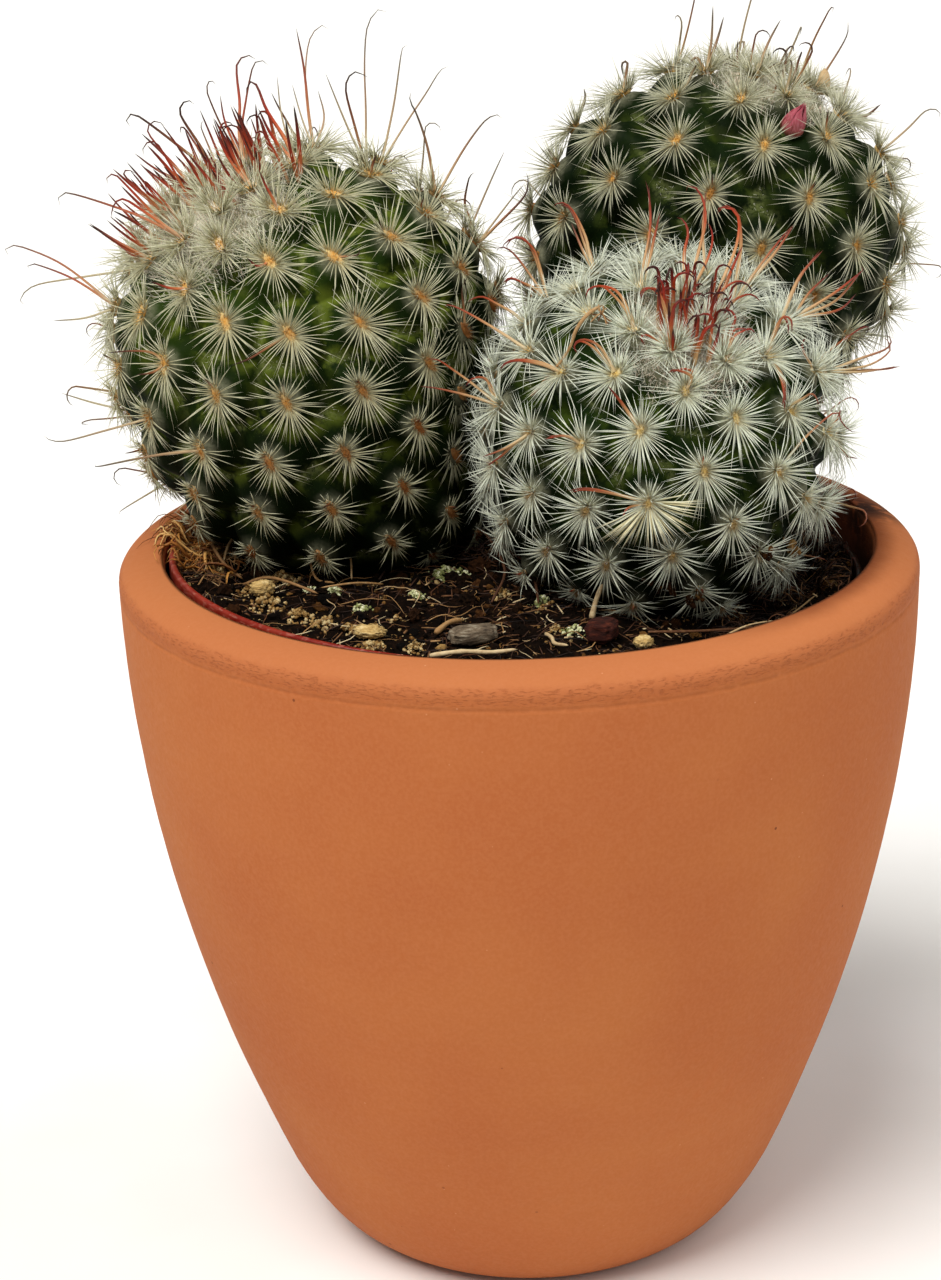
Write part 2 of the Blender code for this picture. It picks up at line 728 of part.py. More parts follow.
def flower_bud():
    """A closed bud with its petals as ridges, pointed at the tip."""
    start, way = BACK.bud
    sides = 2 * BUD_PETALS
    points, faces = [Vector((0, 0, 0))], []
    for along, share in BUD_OUTLINE:
        for k in range(sides):
            angle = math.pi * k / BUD_PETALS + 0.5 * along
            radius = BUD_RADIUS * share * (1.0 if k % 2 else 0.8)
            points.append(Vector((radius * math.cos(angle), radius * math.sin(angle), BUD_LENGTH * along)))
    points.append(Vector((0, 0, BUD_LENGTH)))
    for k in range(sides):
        after = (k + 1) % sides
        faces.append((0, 1 + after, 1 + k))
        for ring in range(len(BUD_OUTLINE) - 1):
            a, b = 1 + ring * sides, 1 + (ring + 1) * sides
            faces += [(a + k, a + after, b + after), (a + k, b + after, b + k)]
        last = 1 + (len(BUD_OUTLINE) - 1) * sides
        faces.append((last + k, last + after, len(points) - 1))
    bm = mesh_of(points, faces)
    turn = way.to_track_quat("Z", "Y").to_matrix().to_4x4()
    bmesh.ops.transform(bm, matrix=Matrix.Translation(start) @ turn, verts=bm.verts)
    add_object("flower_bud", bm, material("petal_pink", (0.55, 0.09, 0.14, 1), 0.6), 60)


def main():
    clear_scene()
    set_seams()
    set_bud()
    cover_pot()
    nursery_pot()
    soil()
    cactus_heads()
    flower_bud()
    for seed, piece in enumerate(LOOSE_PIECES):
        loose_piece(*piece, seed)


main()
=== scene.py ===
import math

import bmesh
import bpy
import numpy as np
from mathutils import Matrix, Vector, noise


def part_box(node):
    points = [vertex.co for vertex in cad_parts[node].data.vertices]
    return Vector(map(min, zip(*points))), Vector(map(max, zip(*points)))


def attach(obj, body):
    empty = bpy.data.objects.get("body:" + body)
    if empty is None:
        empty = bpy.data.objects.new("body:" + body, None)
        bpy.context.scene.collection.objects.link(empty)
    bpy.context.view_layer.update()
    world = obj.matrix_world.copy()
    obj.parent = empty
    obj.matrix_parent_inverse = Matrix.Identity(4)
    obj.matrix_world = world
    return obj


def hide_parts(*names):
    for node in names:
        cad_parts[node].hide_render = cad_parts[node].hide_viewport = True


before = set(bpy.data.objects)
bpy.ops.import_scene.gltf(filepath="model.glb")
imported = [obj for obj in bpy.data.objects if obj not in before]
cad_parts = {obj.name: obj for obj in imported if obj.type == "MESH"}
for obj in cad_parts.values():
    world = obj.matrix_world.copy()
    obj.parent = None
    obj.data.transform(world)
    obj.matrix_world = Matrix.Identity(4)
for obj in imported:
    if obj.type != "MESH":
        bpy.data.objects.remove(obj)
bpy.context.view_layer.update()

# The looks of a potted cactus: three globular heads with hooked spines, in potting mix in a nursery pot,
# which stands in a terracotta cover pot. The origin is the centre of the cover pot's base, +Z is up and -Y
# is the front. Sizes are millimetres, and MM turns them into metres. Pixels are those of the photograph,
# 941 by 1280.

MM = 0.001

# Camera
PHOTO_SIZE = (941.0, 1280.0)
CAMERA_PLACE = np.array((0.0, -421.9, 246.6))
CAMERA_YAW = math.radians(-1.027)
CAMERA_PITCH = math.radians(19.819)
CAMERA_ROLL = math.radians(-1.643)
CAMERA_LENS = 82.69
SENSOR = 36.0
FOCAL_PIXELS = CAMERA_LENS / SENSOR * PHOTO_SIZE[1]

# Floor: half its width, in metres
FLOOR_HALF = 12.0

# Terracotta cover pot. Its wall's radius falls by WALL_TAPER down to the rounded corner, and CORNER_PULL is
# that corner's control point. INNER_CORNER is the width and height of the corner inside.
RIM_RADIUS = 60.0
POT_HEIGHT = 110.9
BASE_RADIUS = 27.3
LIP_WIDTH = 6.7
LIP_DROP = 3.3
WALL_TOP = POT_HEIGHT - LIP_DROP
CORNER_TOP = 13.2
CORNER_PULL = (33.5, 0.8)
WALL_TAPER = 20.7
WALL_BOW = 1.95
WALL_THICKNESS = 6.7
INNER_INSET = 0.25
INNER_CORNER = (7.0, 5.0)
FLOOR_THICKNESS = 9.0
POT_SIDES = 256
ROUGH_BAND = (106.2, 109.3)
GROOVE_LEVEL = 105.6

# Plastic nursery pot. Its rim falls by LINER_SLOPE in the level direction LINER_LEAN
LINER_OFFSET = (-0.4, 0.0)
LINER_FLOOR = 16.8
LINER_BASE_RADIUS = 33.0
LINER_WALL_TOP_RADIUS = 48.6
LINER_LIP_RADIUS = 52.0
LINER_SLOPE = 0.055
LINER_LEAN = (0.9, 0.436)
LINER_TOP = 111.2
LINER_LIP_HEIGHT = 5.0
LINER_LIP_BASE = LINER_TOP - LINER_LIP_HEIGHT
LINER_WALL = 1.0
LINER_SIDES = 200
DRAIN_HOLES = 4
DRAIN_RADIUS = 4.0
DRAIN_CIRCLE = 18.0

# Potting mix. The reaches are measured from the nursery pot's axis
SOIL_LEVEL = 107.2
SOIL_EDGE_RADIUS = 47.9
SOIL_FALL_RIGHT = 5.5
SOIL_RELIEF = 1.1
SOIL_REACH = 50.3
SOIL_CELLS = 150
LOOSE_BED_BLEND = 3.0
CRUMB_REACH = 50.6
CHAFF_REACH = 49.5
FIBRE_REACH = 48.5
LAID_REACH = 50.4
GAP = 0.35

# Heads. Bodies and spines keep SEAM_GAP and SPINE_GAP from the planes between them. Areoles show from
# LEAST_HEIGHT over the mix up
SEAM_GAP = 0.45
SEAM_MARGIN = 3.0
GOLDEN_ANGLE = math.pi * (3 - math.sqrt(5))
HEXAGON_SHARE = math.sqrt(3) / 2
APEX_SPACING_SHARE = 0.64
APEX_REACH = math.radians(46)
AREA_STEPS = 180
GOLDEN_RUN = 8
ROOT_REACH = 0.85
SURFACE_STEP = 0.01
HOOK_TURN = math.radians(175)
YOUTH_REACH = math.radians(115)
LEAST_HEIGHT = 1.6
SPINE_GAP = 0.2
SPINE_LIFT = 0.15
STAR_STRETCH = 1.15
HAIR_TAPER = np.array((1, 0))


# Vectors and curves

def smooth(x):
    """0 below 0, 1 above 1, and an even ease between."""
    x = np.clip(x, 0.0, 1.0)
    return x * x * (3 - 2 * x)


def unit(v):
    v = np.asarray(v, float)
    return v / np.maximum(np.linalg.norm(v, axis=-1, keepdims=True), 1e-12)


def dot(a, b):
    return np.sum(a * b, axis=-1, keepdims=True)


def blend(a, b, share):
    return a + (b - a) * share


def square_to(ways):
    """Directions at right angles to unit vectors."""
    return np.cross(ways, np.where(np.abs(ways[:, 2:]) < 0.9, (0.0, 0.0, 1.0), (1.0, 0.0, 0.0)))


def noise_at(*place):
    return noise.noise(Vector(place))


def evened(heights):
    """Heights along a path, each drawn toward its neighbours."""
    return np.convolve(np.pad(heights, 1, mode="edge"), (0.25, 0.5, 0.25), mode="valid")


def smooth_curve(points, count):
    """count points, evenly far apart, on a smooth curve through the given ones."""
    points = np.asarray(points, float)
    padded = np.vstack((2 * points[0] - points[1], points, 2 * points[-1] - points[-2]))
    t = np.linspace(0, 1, 12, endpoint=False)[:, None]
    runs = []
    for a, b, c, d in zip(padded, padded[1:], padded[2:], padded[3:]):
        runs.append(0.5 * (2 * b + (c - a) * t + (2 * a - 5 * b + 4 * c - d) * t ** 2
                           + (3 * b - a - 3 * c + d) * t ** 3))
    fine = np.vstack(runs + [points[-1:]])
    gone = np.concatenate(([0.0], np.cumsum(np.linalg.norm(np.diff(fine, axis=0), axis=1))))
    wanted = np.linspace(0, gone[-1], count)
    return np.column_stack([np.interp(wanted, gone, fine[:, k]) for k in range(3)])


def random_turns(rng, count):
    """Rotation matrices spread evenly over all turns."""
    w, x, y, z = unit(rng.normal(size=(count, 4))).T
    rows = [
        [1 - 2 * (y * y + z * z), 2 * (x * y - z * w), 2 * (x * z + y * w)],
        [2 * (x * y + z * w), 1 - 2 * (x * x + z * z), 2 * (y * z - x * w)],
        [2 * (x * z - y * w), 2 * (y * z + x * w), 1 - 2 * (x * x + y * y)],
    ]
    return np.moveaxis(np.array(rows), 2, 0)


def camera_axes():
    """The camera's right, up and ahead."""
    ahead = np.array((math.sin(CAMERA_YAW) * math.cos(CAMERA_PITCH),
                      math.cos(CAMERA_YAW) * math.cos(CAMERA_PITCH), -math.sin(CAMERA_PITCH)))
    level = unit(np.cross(ahead, (0, 0, 1)))
    upright = np.cross(level, ahead)
    turn, lift = math.cos(CAMERA_ROLL), math.sin(CAMERA_ROLL)
    return turn * level + lift * upright, turn * upright - lift * level, ahead


def seen_at_depth(pixel, depth):
    """The point that a pixel of the photograph shows, at a depth along the camera's axis."""
    right, up, ahead = camera_axes()
    across = (pixel[0] - PHOTO_SIZE[0] / 2) / FOCAL_PIXELS
    rise = (PHOTO_SIZE[1] / 2 - pixel[1]) / FOCAL_PIXELS
    return CAMERA_PLACE + (ahead + across * right + rise * up) * depth


def seen_at_y(pixel, y):
    """The point that a pixel of the photograph shows, on the upright plane at y."""
    one = seen_at_depth(pixel, 1.0) - CAMERA_PLACE
    return CAMERA_PLACE + one * (y - CAMERA_PLACE[1]) / one[1]


def projected(points):
    """Pixels of points, and their depths along the camera's axis."""
    right, up, ahead = camera_axes()
    away = np.asarray(points) - CAMERA_PLACE
    depth = away @ ahead
    x = PHOTO_SIZE[0] / 2 + FOCAL_PIXELS * (away @ right) / depth
    y = PHOTO_SIZE[1] / 2 - FOCAL_PIXELS * (away @ up) / depth
    return np.column_stack((x, y)), depth


# Meshes

def ball(subdivisions):
    """Points and triangles of an even unit ball."""
    bm = bmesh.new()
    bmesh.ops.create_icosphere(bm, subdivisions=subdivisions, radius=1.0)
    points = np.array([v.co for v in bm.verts])
    tris = np.array([[v.index for v in f.verts] for f in bm.faces])
    bm.free()
    return points, tris


def ring_quads(bands, sides, first=0):
    """Quads that join rings of points, one ring after the other from the point first on."""
    here = np.arange(sides)
    after = (here + 1) % sides
    low = first + np.arange(bands)[:, None] * sides
    corners = (low + here, low + after, low + sides + after, low + sides + here)
    return np.stack(corners, axis=-1).reshape(-1, 4)


def repeated(faces, copies, each):
    """The faces of copies of a shape, where each is its number of points."""
    faces = np.asarray(faces)
    return (faces[None] + np.arange(copies)[:, None, None] * each).reshape(-1, faces.shape[1])


class Soup:
    """Gathers points, faces and values at points for one mesh."""

    def __init__(self):
        self.points = []
        self.quads = []
        self.tris = []
        self.layers = {}
        self.count = 0

    def add(self, points, quads=None, tris=None, **layers):
        points = np.asarray(points, float).reshape(-1, 3)
        if quads is not None:
            self.quads.append(np.asarray(quads) + self.count)
        if tris is not None:
            self.tris.append(np.asarray(tris) + self.count)
        for name, values in layers.items():
            self.layers.setdefault(name, []).append(np.broadcast_to(values, len(points)))
        self.points.append(points)
        self.count += len(points)

    def add_copies(self, shape, tris, places, turns, **layers):
        """Copies of one shape: turns are 3 by 3 matrices, and layers have a value for each copy."""
        points = np.einsum("nij,nkj->nki", turns, shape) + places[:, None]
        each = shape.shape[1]
        values = {name: np.repeat(value, each) for name, value in layers.items()}
        self.add(points, tris=repeated(tris, len(places), each), **values)

    def add_tubes(self, paths, radii, sides=3, **layers):
        """Closed tubes along paths (tubes, points, 3) that end in a point. Layers have a value for each
        tube."""
        number, length, _ = paths.shape
        radii = np.broadcast_to(radii, (number, length))
        ahead = unit(np.gradient(paths, axis=1))
        side = square_to(ahead[:, 0])
        angle = 2 * math.pi * np.arange(sides) / sides
        rings = []
        for i in range(length - 1):
            side = unit(side - ahead[:, i] * dot(side, ahead[:, i]))
            other = np.cross(ahead[:, i], side)
            spoke = np.cos(angle)[:, None] * side[:, None] + np.sin(angle)[:, None] * other[:, None]
            rings.append(paths[:, i, None] + radii[:, i, None, None] * spoke)
        points = np.concatenate(rings + [paths[:, -1:]], axis=1)
        each = points.shape[1]
        last = (length - 2) * sides
        tris = [(last + k, last + (k + 1) % sides, each - 1) for k in range(sides)]
        tris += [(0, k + 1, k) for k in range(1, sides - 1)]
        quads = repeated(ring_quads(length - 2, sides), number, each)
        along = np.append(np.repeat(np.arange(length - 1) / (length - 1), sides), 1.0)
        values = {name: np.repeat(value, each) for name, value in layers.items()}
        self.add(points, quads, repeated(tris, number, each), along=np.tile(along, number), **values)


def show(name, soup, look, node, flat=False):
    """Makes the object, in metres. It rides on the part's one body and stands for a node."""
    mesh = bpy.data.meshes.new(name)
    points = np.concatenate(soup.points) * MM
    faces = [np.concatenate(group) for group in (soup.quads, soup.tris) if group]
    corners = np.concatenate([group.ravel() for group in faces])
    widths = np.concatenate([np.full(len(group), group.shape[1]) for group in faces])
    mesh.vertices.add(len(points))
    mesh.vertices.foreach_set("co", points.ravel().astype(np.float32))
    mesh.loops.add(len(corners))
    mesh.loops.foreach_set("vertex_index", corners.astype(np.int32))
    mesh.polygons.add(len(widths))
    mesh.polygons.foreach_set("loop_start", (np.cumsum(widths) - widths).astype(np.int32))
    mesh.update(calc_edges=True)
    if flat:
        mesh.shade_flat()
    else:
        mesh.shade_smooth()
    for layer, values in soup.layers.items():
        attribute = mesh.attributes.new(layer, "FLOAT", "POINT")
        attribute.data.foreach_set("value", np.concatenate(values).astype(np.float32))
    obj = bpy.data.objects.new(name, mesh)
    bpy.context.scene.collection.objects.link(obj)
    obj.data.materials.append(look.mat)
    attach(obj, "root")
    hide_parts(node)
    return obj


# Materials

def srgb(code):
    """A colour written as six hex digits, as the linear values that shaders take."""
    values = [int(code[i:i + 2], 16) / 255 for i in (0, 2, 4)]
    return tuple(v / 12.92 if v < 0.04045 else ((v + 0.055) / 1.055) ** 2.4 for v in values) + (1.0,)


class Look:
    """A material with a Principled shader, and short calls that add its nodes. Sizes are millimetres."""

    def __init__(self, name, roughness, specular):
        self.mat = bpy.data.materials.new(name)
        self.mat.use_nodes = True
        self.tree = self.mat.node_tree
        self.shader = self.tree.nodes["Principled BSDF"]
        self.shader.inputs["Roughness"].default_value = roughness
        self.shader.inputs["Specular IOR Level"].default_value = specular
        self.place = self.add("TexCoord").outputs["Object"]

    def add(self, kind, **settings):
        node = self.tree.nodes.new("ShaderNode" + kind)
        for key, value in settings.items():
            setattr(node, key, value)
        return node

    def feed(self, socket, value):
        """Links an output to a socket, or sets the socket's own value."""
        if isinstance(value, bpy.types.NodeSocket):
            self.tree.links.new(value, socket)
        else:
            socket.default_value = value

    def stretched(self, stretch):
        node = self.add("Mapping")
        self.feed(node.inputs["Vector"], self.place)
        node.inputs["Scale"].default_value = stretch
        return node.outputs["Vector"]

    def noise(self, size, detail=3.0, stretch=None, rough=0.5):
        node = self.add("TexNoise")
        self.feed(node.inputs["Vector"], self.stretched(stretch) if stretch else self.place)
        node.inputs["Scale"].default_value = 1 / (size * MM)
        node.inputs["Detail"].default_value = detail
        node.inputs["Roughness"].default_value = rough
        return node.outputs[0]

    def cells(self, size):
        node = self.add("TexVoronoi")
        self.feed(node.inputs["Vector"], self.place)
        node.inputs["Scale"].default_value = 1 / (size * MM)
        return node.outputs["Distance"]

    def value(self, layer):
        return self.add("Attribute", attribute_name=layer).outputs["Fac"]

    def axis(self, index):
        node = self.add("SeparateXYZ")
        self.feed(node.inputs[0], self.place)
        return node.outputs[index]

    def near(self, place, reach):
        """1 at a place, falling to 0 at its reach."""
        node = self.add("VectorMath", operation="DISTANCE")
        self.feed(node.inputs[0], self.place)
        node.inputs[1].default_value = [c * MM for c in place]
        return self.ranged(node.outputs["Value"], reach * MM, 0.0)

    def ranged(self, value, low, high, to_low=0.0, to_high=1.0):
        """Eases a value's stretch from low to high into another stretch."""
        node = self.add("MapRange", interpolation_type="SMOOTHSTEP")
        for socket, number in zip(node.inputs, (value, low, high, to_low, to_high)):
            self.feed(socket, number)
        return node.outputs["Result"]

    def lengths(self, value, low, high):
        """Eases a length's stretch from low to high, in millimetres, into 0 to 1."""
        return self.ranged(value, low * MM, high * MM)

    def patches(self, size, detail, low, high, to_low=0.0, to_high=1.0, **form):
        """Noise, with its stretch from low to high eased into another stretch."""
        return self.ranged(self.noise(size, detail, **form), low, high, to_low, to_high)

    def math(self, operation, a, b):
        node = self.add("Math", operation=operation)
        self.feed(node.inputs[0], a)
        self.feed(node.inputs[1], b)
        return node.outputs[0]

    def times(self, *values):
        found = values[0]
        for value in values[1:]:
            found = self.math("MULTIPLY", found, value)
        return found

    def plus(self, *values):
        found = values[0]
        for value in values[1:]:
            found = self.math("ADD", found, value)
        return found

    def centred(self, value, amount):
        """Moves a value's middle, 0.5, to 0, and scales it by an amount."""
        return self.times(self.math("SUBTRACT", value, 0.5), amount)

    def ramp(self, value, *stops):
        """A colour for each value, from stops of a position and a hex code."""
        node = self.add("ValToRGB")
        self.feed(node.inputs[0], value)
        elements = node.color_ramp.elements
        while len(elements) < len(stops):
            elements.new(0.5)
        for element, (position, code) in zip(elements, stops):
            element.position = position
            element.color = srgb(code)
        return node.outputs["Color"]

    def mix(self, share, a, b):
        node = self.add("Mix", data_type="RGBA")
        self.feed(node.inputs[0], share)
        self.feed(node.inputs[6], srgb(a) if isinstance(a, str) else a)
        self.feed(node.inputs[7], srgb(b) if isinstance(b, str) else b)
        return node.outputs[2]

    def colour(self, value):
        self.feed(self.shader.inputs["Base Color"], value)

    def over(self, colour, *shares):
        """Lays a colour over the one so far, as far as the product of the shares."""
        under = self.shader.inputs["Base Color"].links[0].from_socket
        self.colour(self.mix(self.times(*shares), under, colour))

    def roughness(self, value):
        self.feed(self.shader.inputs["Roughness"], value)

    def bump(self, height, depth, strength=1.0):
        """Raises the surface by a height from 0 to 1, times a depth."""
        node = self.add("Bump")
        node.inputs["Strength"].default_value = strength
        node.inputs["Distance"].default_value = depth * MM
        self.feed(node.inputs["Height"], height)
        if self.shader.inputs["Normal"].links:
            self.feed(node.inputs["Normal"], self.shader.inputs["Normal"].links[0].from_socket)
        self.feed(self.shader.inputs["Normal"], node.outputs["Normal"])


def terracotta_look():
    """Fired clay: a rough band under the lip, a fine groove with a painted shadow line, the lip's top
    painted lighter, painted shade down the inner wall, and the inner lip darker under its top and at the
    right.
    """
    look = Look("terracotta", 0.82, 0.15)
    look.colour(look.mix(look.patches(34, 2, 0.3, 0.7), "AC6033", "B36938"))
    look.over("AA5C32", look.patches(16, 3, 0.35, 0.7, stretch=(0.25, 0.25, 2.2)), 0.2)
    look.over("C57C52", look.patches(0.55, 3, 0.3, 0.75), 0.22)
    height = look.axis(2)
    # The lip's top is painted lighter: a painted highlight where it faces the light.
    look.over("B87145", look.lengths(height, WALL_TOP - 0.7, WALL_TOP + 0.9), 0.6)
    waver = look.centred(look.noise(2.6, 4), 0.9 * MM)
    level = look.plus(height, waver)
    band_low, band_high = ROUGH_BAND
    band = look.times(look.lengths(level, band_low, band_low + 0.8),
                      look.lengths(level, band_high, band_high - 0.8))
    pits = look.times(band, look.patches(0.38, 3, 0.5, 0.68, stretch=(0.45, 0.45, 1.5)))
    # A thin dark line along the groove: painted shadow in it.
    groove = look.times(look.lengths(level, GROOVE_LEVEL, GROOVE_LEVEL + 0.3),
                        look.lengths(level, GROOVE_LEVEL + 0.9, GROOVE_LEVEL + 0.5),
                        look.patches(1.6, 3, 0.3, 0.6))
    look.over("A65B33", band, 0.4)
    look.over("8A4421", pits, 0.35)
    look.over("8C4B28", groove, 0.28)
    # Painted shade down the inside of the wall, darkest deep in the pot.
    painted_inner_shade = look.times(look.value("inside"), look.lengths(look.plus(height, look.times(waver, 2.5)),
                                                         POT_HEIGHT - 0.9, POT_HEIGHT - 3.6))
    # The inner lip is made darker just under its top, above the painted shade inside.
    inner_lip_darkening = look.times(look.value("inside"), look.lengths(height, POT_HEIGHT - 0.2, POT_HEIGHT - 1.8))
    look.over("87461F", inner_lip_darkening, 0.65)
    look.over("26130A", painted_inner_shade, 0.9)
    look.over("5A2A17", look.ranged(look.cells(5.2), 0.055, 0.03), look.patches(6, 1, 0.5, 0.62), 0.75)
    look.over("D8A27C", look.ranged(look.cells(2.9), 0.06, 0.03), look.patches(9, 1, 0.5, 0.62), 0.4)
    x, y = look.axis(0), look.axis(1)
    reach = look.math("POWER", look.plus(look.times(x, x), look.times(y, y)), 0.5)
    look.over("74391B", look.lengths(look.plus(reach, look.times(look.noise(5, 3), 1.6 * MM)), 58.2, 54.2),
              look.lengths(x, 22, 46), look.lengths(height, 104, 108), 0.85)
    look.over("5A2A14", look.near((50.5, 16, 109), 14), look.patches(5, 3, 0.2, 0.6, 0.7, 1.0), 0.9)
    look.over("1E0F09", look.near((53.6, 10.5, 110.5), 10), look.patches(2.2, 4, 0.34, 0.52), 0.95)
    look.over("B4602F", look.near((24, -41, 40), 17),
              look.patches(2.4, 4, 0.52, 0.75, stretch=(1, 1, 0.35)), 0.35)
    look.roughness(look.patches(1.2, 2, 0.2, 0.8, 0.72, 0.9))
    look.bump(look.noise(0.5, 3), 0.035, 0.8)
    look.bump(look.noise(2.4, 2), 0.05, 0.6)
    look.bump(look.math("SUBTRACT", 1.0, pits), 0.09, 0.8)
    return look


def plastic_look():
    """Red-brown plastic, dusty, and darker at the right with soil and painted shade."""
    look = Look("nursery_plastic", 0.45, 0.3)
    look.colour(look.mix(look.patches(3.5, 3, 0.35, 0.7), "74190F", "8C2C1D"))
    dust = look.patches(1.1, 4, 0.5, 0.72, stretch=(1, 1, 3))
    look.over("B87A66", dust, 0.45)
    # Darker at the right: soil on the rim, and painted shade where it sits low in the cover pot.
    uneven = look.plus(look.axis(0), look.times(look.noise(3, 4), 14 * MM))
    look.over("1E120A", look.lengths(uneven, 20, 34), look.patches(1.3, 4, 0.3, 0.5, 0.75, 1.0))
    look.roughness(look.ranged(dust, 0.0, 1.0, 0.32, 0.75))
    look.bump(look.noise(0.8, 3, (1, 1, 4)), 0.05, 0.7)
    return look


def soil_look():
    look = Look("potting_mix_looks", 0.95, 0.06)
    look.colour(look.ramp(look.noise(1.4, 5, rough=0.65), (0.34, "040201"), (0.52, "0F0703"),
                          (0.66, "1E1007"), (0.82, "38200E")))
    look.over("6E5430", look.ranged(look.cells(0.8), 0.22, 0.08), look.patches(2.2, 2, 0.55, 0.68), 0.6)
    look.bump(look.noise(0.35, 4, rough=0.7), 0.25)
    return look


def shaded_look(name, roughness, specular, size, detail, amount, *stops):
    """A look whose shade picks one of its colours, with noise of a size and an amount in the shade."""
    look = Look(name, roughness, specular)
    tone = look.plus(look.value("shade"), look.centred(look.noise(size, detail), amount))
    look.colour(look.ramp(tone, *stops))
    return look


def crumb_look():
    """Crumbs of peat and bark; shade runs from black peat over bark to pale grains."""
    look = shaded_look("crumbs", 0.92, 0.08, 0.5, 4, 0.35, (0.0, "040201"), (0.35, "120903"),
                       (0.55, "331C0B"), (0.72, "65441F"), (0.86, "9C7B49"), (1.0, "CDB98A"))
    look.bump(look.noise(0.3, 4, rough=0.7), 0.15)
    return look


def lichen_look():
    look = Look("lichen", 0.9, 0.2)
    tone = look.plus(look.value("shade"), look.times(look.noise(0.4, 3), 0.2))
    look.colour(look.ramp(tone, (0.1, "54592A"), (0.5, "94985E"), (0.85, "CCCCA2"), (1.0, "E2DFC0")))
    look.bump(look.noise(0.25, 3), 0.1)
    return look


def fibre_look():
    """Roots and fibres; shade runs from dark root over rust to straw."""
    look = shaded_look("fibres", 0.7, 0.35, 0.6, 3, 0.3, (0.0, "120A06"), (0.3, "331D10"), (0.5, "5E381D"),
                       (0.75, "A27A4B"), (1.0, "D8C49A"))
    look.bump(look.noise(0.3, 3), 0.04)
    return look


def tangle_look():
    """Dry roots at the rim; shade runs from rust to a light orange brown."""
    return shaded_look("root_tangle", 0.6, 0.3, 0.8, 3, 0.4, (0.0, "5E3214"), (0.35, "9A5F26"),
                       (0.7, "C98D42"), (1.0, "E4BC78"))


def skin_look(name, shade, dark, middle, light, line):
    """Green skin: lighter at the top of the head, for young growth and as painted light; yellower in the
    upright valleys; painted shade under each tubercle and low down; scurfy along some valleys; paler at the
    crown, partly painted light, and round each areole."""
    look = Look(name, 0.65, 0.03)
    look.colour(look.mix(look.patches(5.5, 3, 0.3, 0.7), dark, middle))
    # Lighter toward the top: young growth, and painted light where the light falls from above.
    young = look.ranged(look.plus(look.value("youth"), look.times(look.noise(7, 2), 0.4)), 0.45, 1.15)
    look.over(light, young, 0.7)
    uneven = look.patches(3.4, 5, 0.4, 0.6, rough=0.65)
    look.over(line, look.value("line"), uneven, 0.8)
    specks = look.ranged(look.cells(0.42), 0.2, 0.09)
    look.over("667A44", specks, look.patches(2.8, 3, 0.44, 0.62), 0.3)
    # Painted shade on the lower side of each tubercle.
    look.over(shade, look.value("below"), 0.55)
    # Painted shade low on the head, near the pot.
    look.over(shade, look.value("deep"), 0.65)
    look.over("7C8450", look.value("scurf"), look.patches(0.45, 4, 0.36, 0.58, rough=0.7), 0.5)
    # Paler crown: its own pale colour, and painted light that lifts the shade between the wool hairs.
    look.over("C6C2A2", look.value("crown"), 0.85)
    threads = look.patches(0.5, 3, 0.3, 0.62, 0.55, 1.0)
    look.over("A5A488", look.value("halo"), threads, 0.75)
    look.roughness(look.patches(1.5, 3, 0.3, 0.7, 0.5, 0.68))
    look.bump(look.noise(0.5, 3), 0.06, 0.8)
    look.bump(specks, 0.03, 0.8)
    return look


def radial_look(name, root, middle, tip):
    """Pale spines: shade is each spine's own tone, greyer low on the head for age and as painted shade, and
    cream turns a clump yellow.
    """
    look = Look(name, 0.45, 0.3)
    look.colour(look.ramp(look.value("along"), (0.0, root), (0.3, middle), (1.0, tip)))
    # Greyer low on the head: older spines, and painted shade.
    look.over("A39A74", look.value("shade"), 0.5)
    look.over("EFDFA8", look.value("cream"), 0.75)
    look.over("BDB98E", look.patches(1.1, 2, 0.4, 0.7), 0.12)
    return look


def central_look(name, *stops):
    """Hooked spines, darker to the tip: brown, or red as far as red says. shade shifts each along its
    colours, and pale ones stay grey."""
    look = Look(name, 0.42, 0.25)
    shift = look.centred(look.value("shade"), 0.4)
    tone = look.plus(look.value("along"), shift)
    brown = look.ramp(tone, (0.0, "CDB78C"), (0.25, "A98458"), (0.5, "7A4C2C"), (0.75, "3F2418"),
                      (1.0, "120D0B"))
    look.colour(look.mix(look.value("red"), brown, look.ramp(tone, *stops)))
    grey = look.ramp(look.value("along"), (0.0, "C9BE9C"), (0.6, "A89B78"), (1.0, "4B4338"))
    look.over(grey, look.value("pale"))
    look.over("7A4326", look.patches(0.8, 3, 0.4, 0.7), 0.12)
    look.bump(look.noise(0.5, 2), 0.02)
    return look


def felt_look(name, edge, middle, old):
    look = Look(name, 0.9, 0.2)
    nap = look.ranged(look.plus(look.value("along"), look.times(look.noise(0.6, 2), 0.5)), 0.2, 1.0)
    look.colour(look.mix(nap, middle, edge))
    look.over(old, look.value("shade"), 0.9)
    look.over("8E5F26", look.patches(0.35, 3, 0.4, 0.7), 0.35)
    look.bump(look.noise(0.18, 3), 0.06)
    return look


def wool_look():
    look = Look("wool", 0.8, 0.3)
    look.colour(look.ramp(look.value("shade"), (0.0, "E9E6D2"), (0.6, "F4F1E2"), (1.0, "EFD2BC")))
    return look


def petal_look():
    look = Look("petals", 0.55, 0.35)
    veins = look.noise(0.6, 2, (3, 3, 0.4))
    look.colour(look.mix(look.ranged(look.value("along"), 0.15, 0.75), "8A5038", "A84856"))
    look.over("CC7E8C", look.ranged(veins, 0.4, 0.7), 0.4)
    look.bump(veins, 0.05)
    return look


def bark_look(name, dark, middle, light):
    look = Look(name, 0.92, 0.2)
    layers = look.noise(0.9, 5, (0.5, 0.8, 2.2), 0.65)
    look.colour(look.ramp(layers, (0.3, dark), (0.52, middle), (0.72, light)))
    look.bump(layers, 0.3)
    return look


# Camera, floor and lights

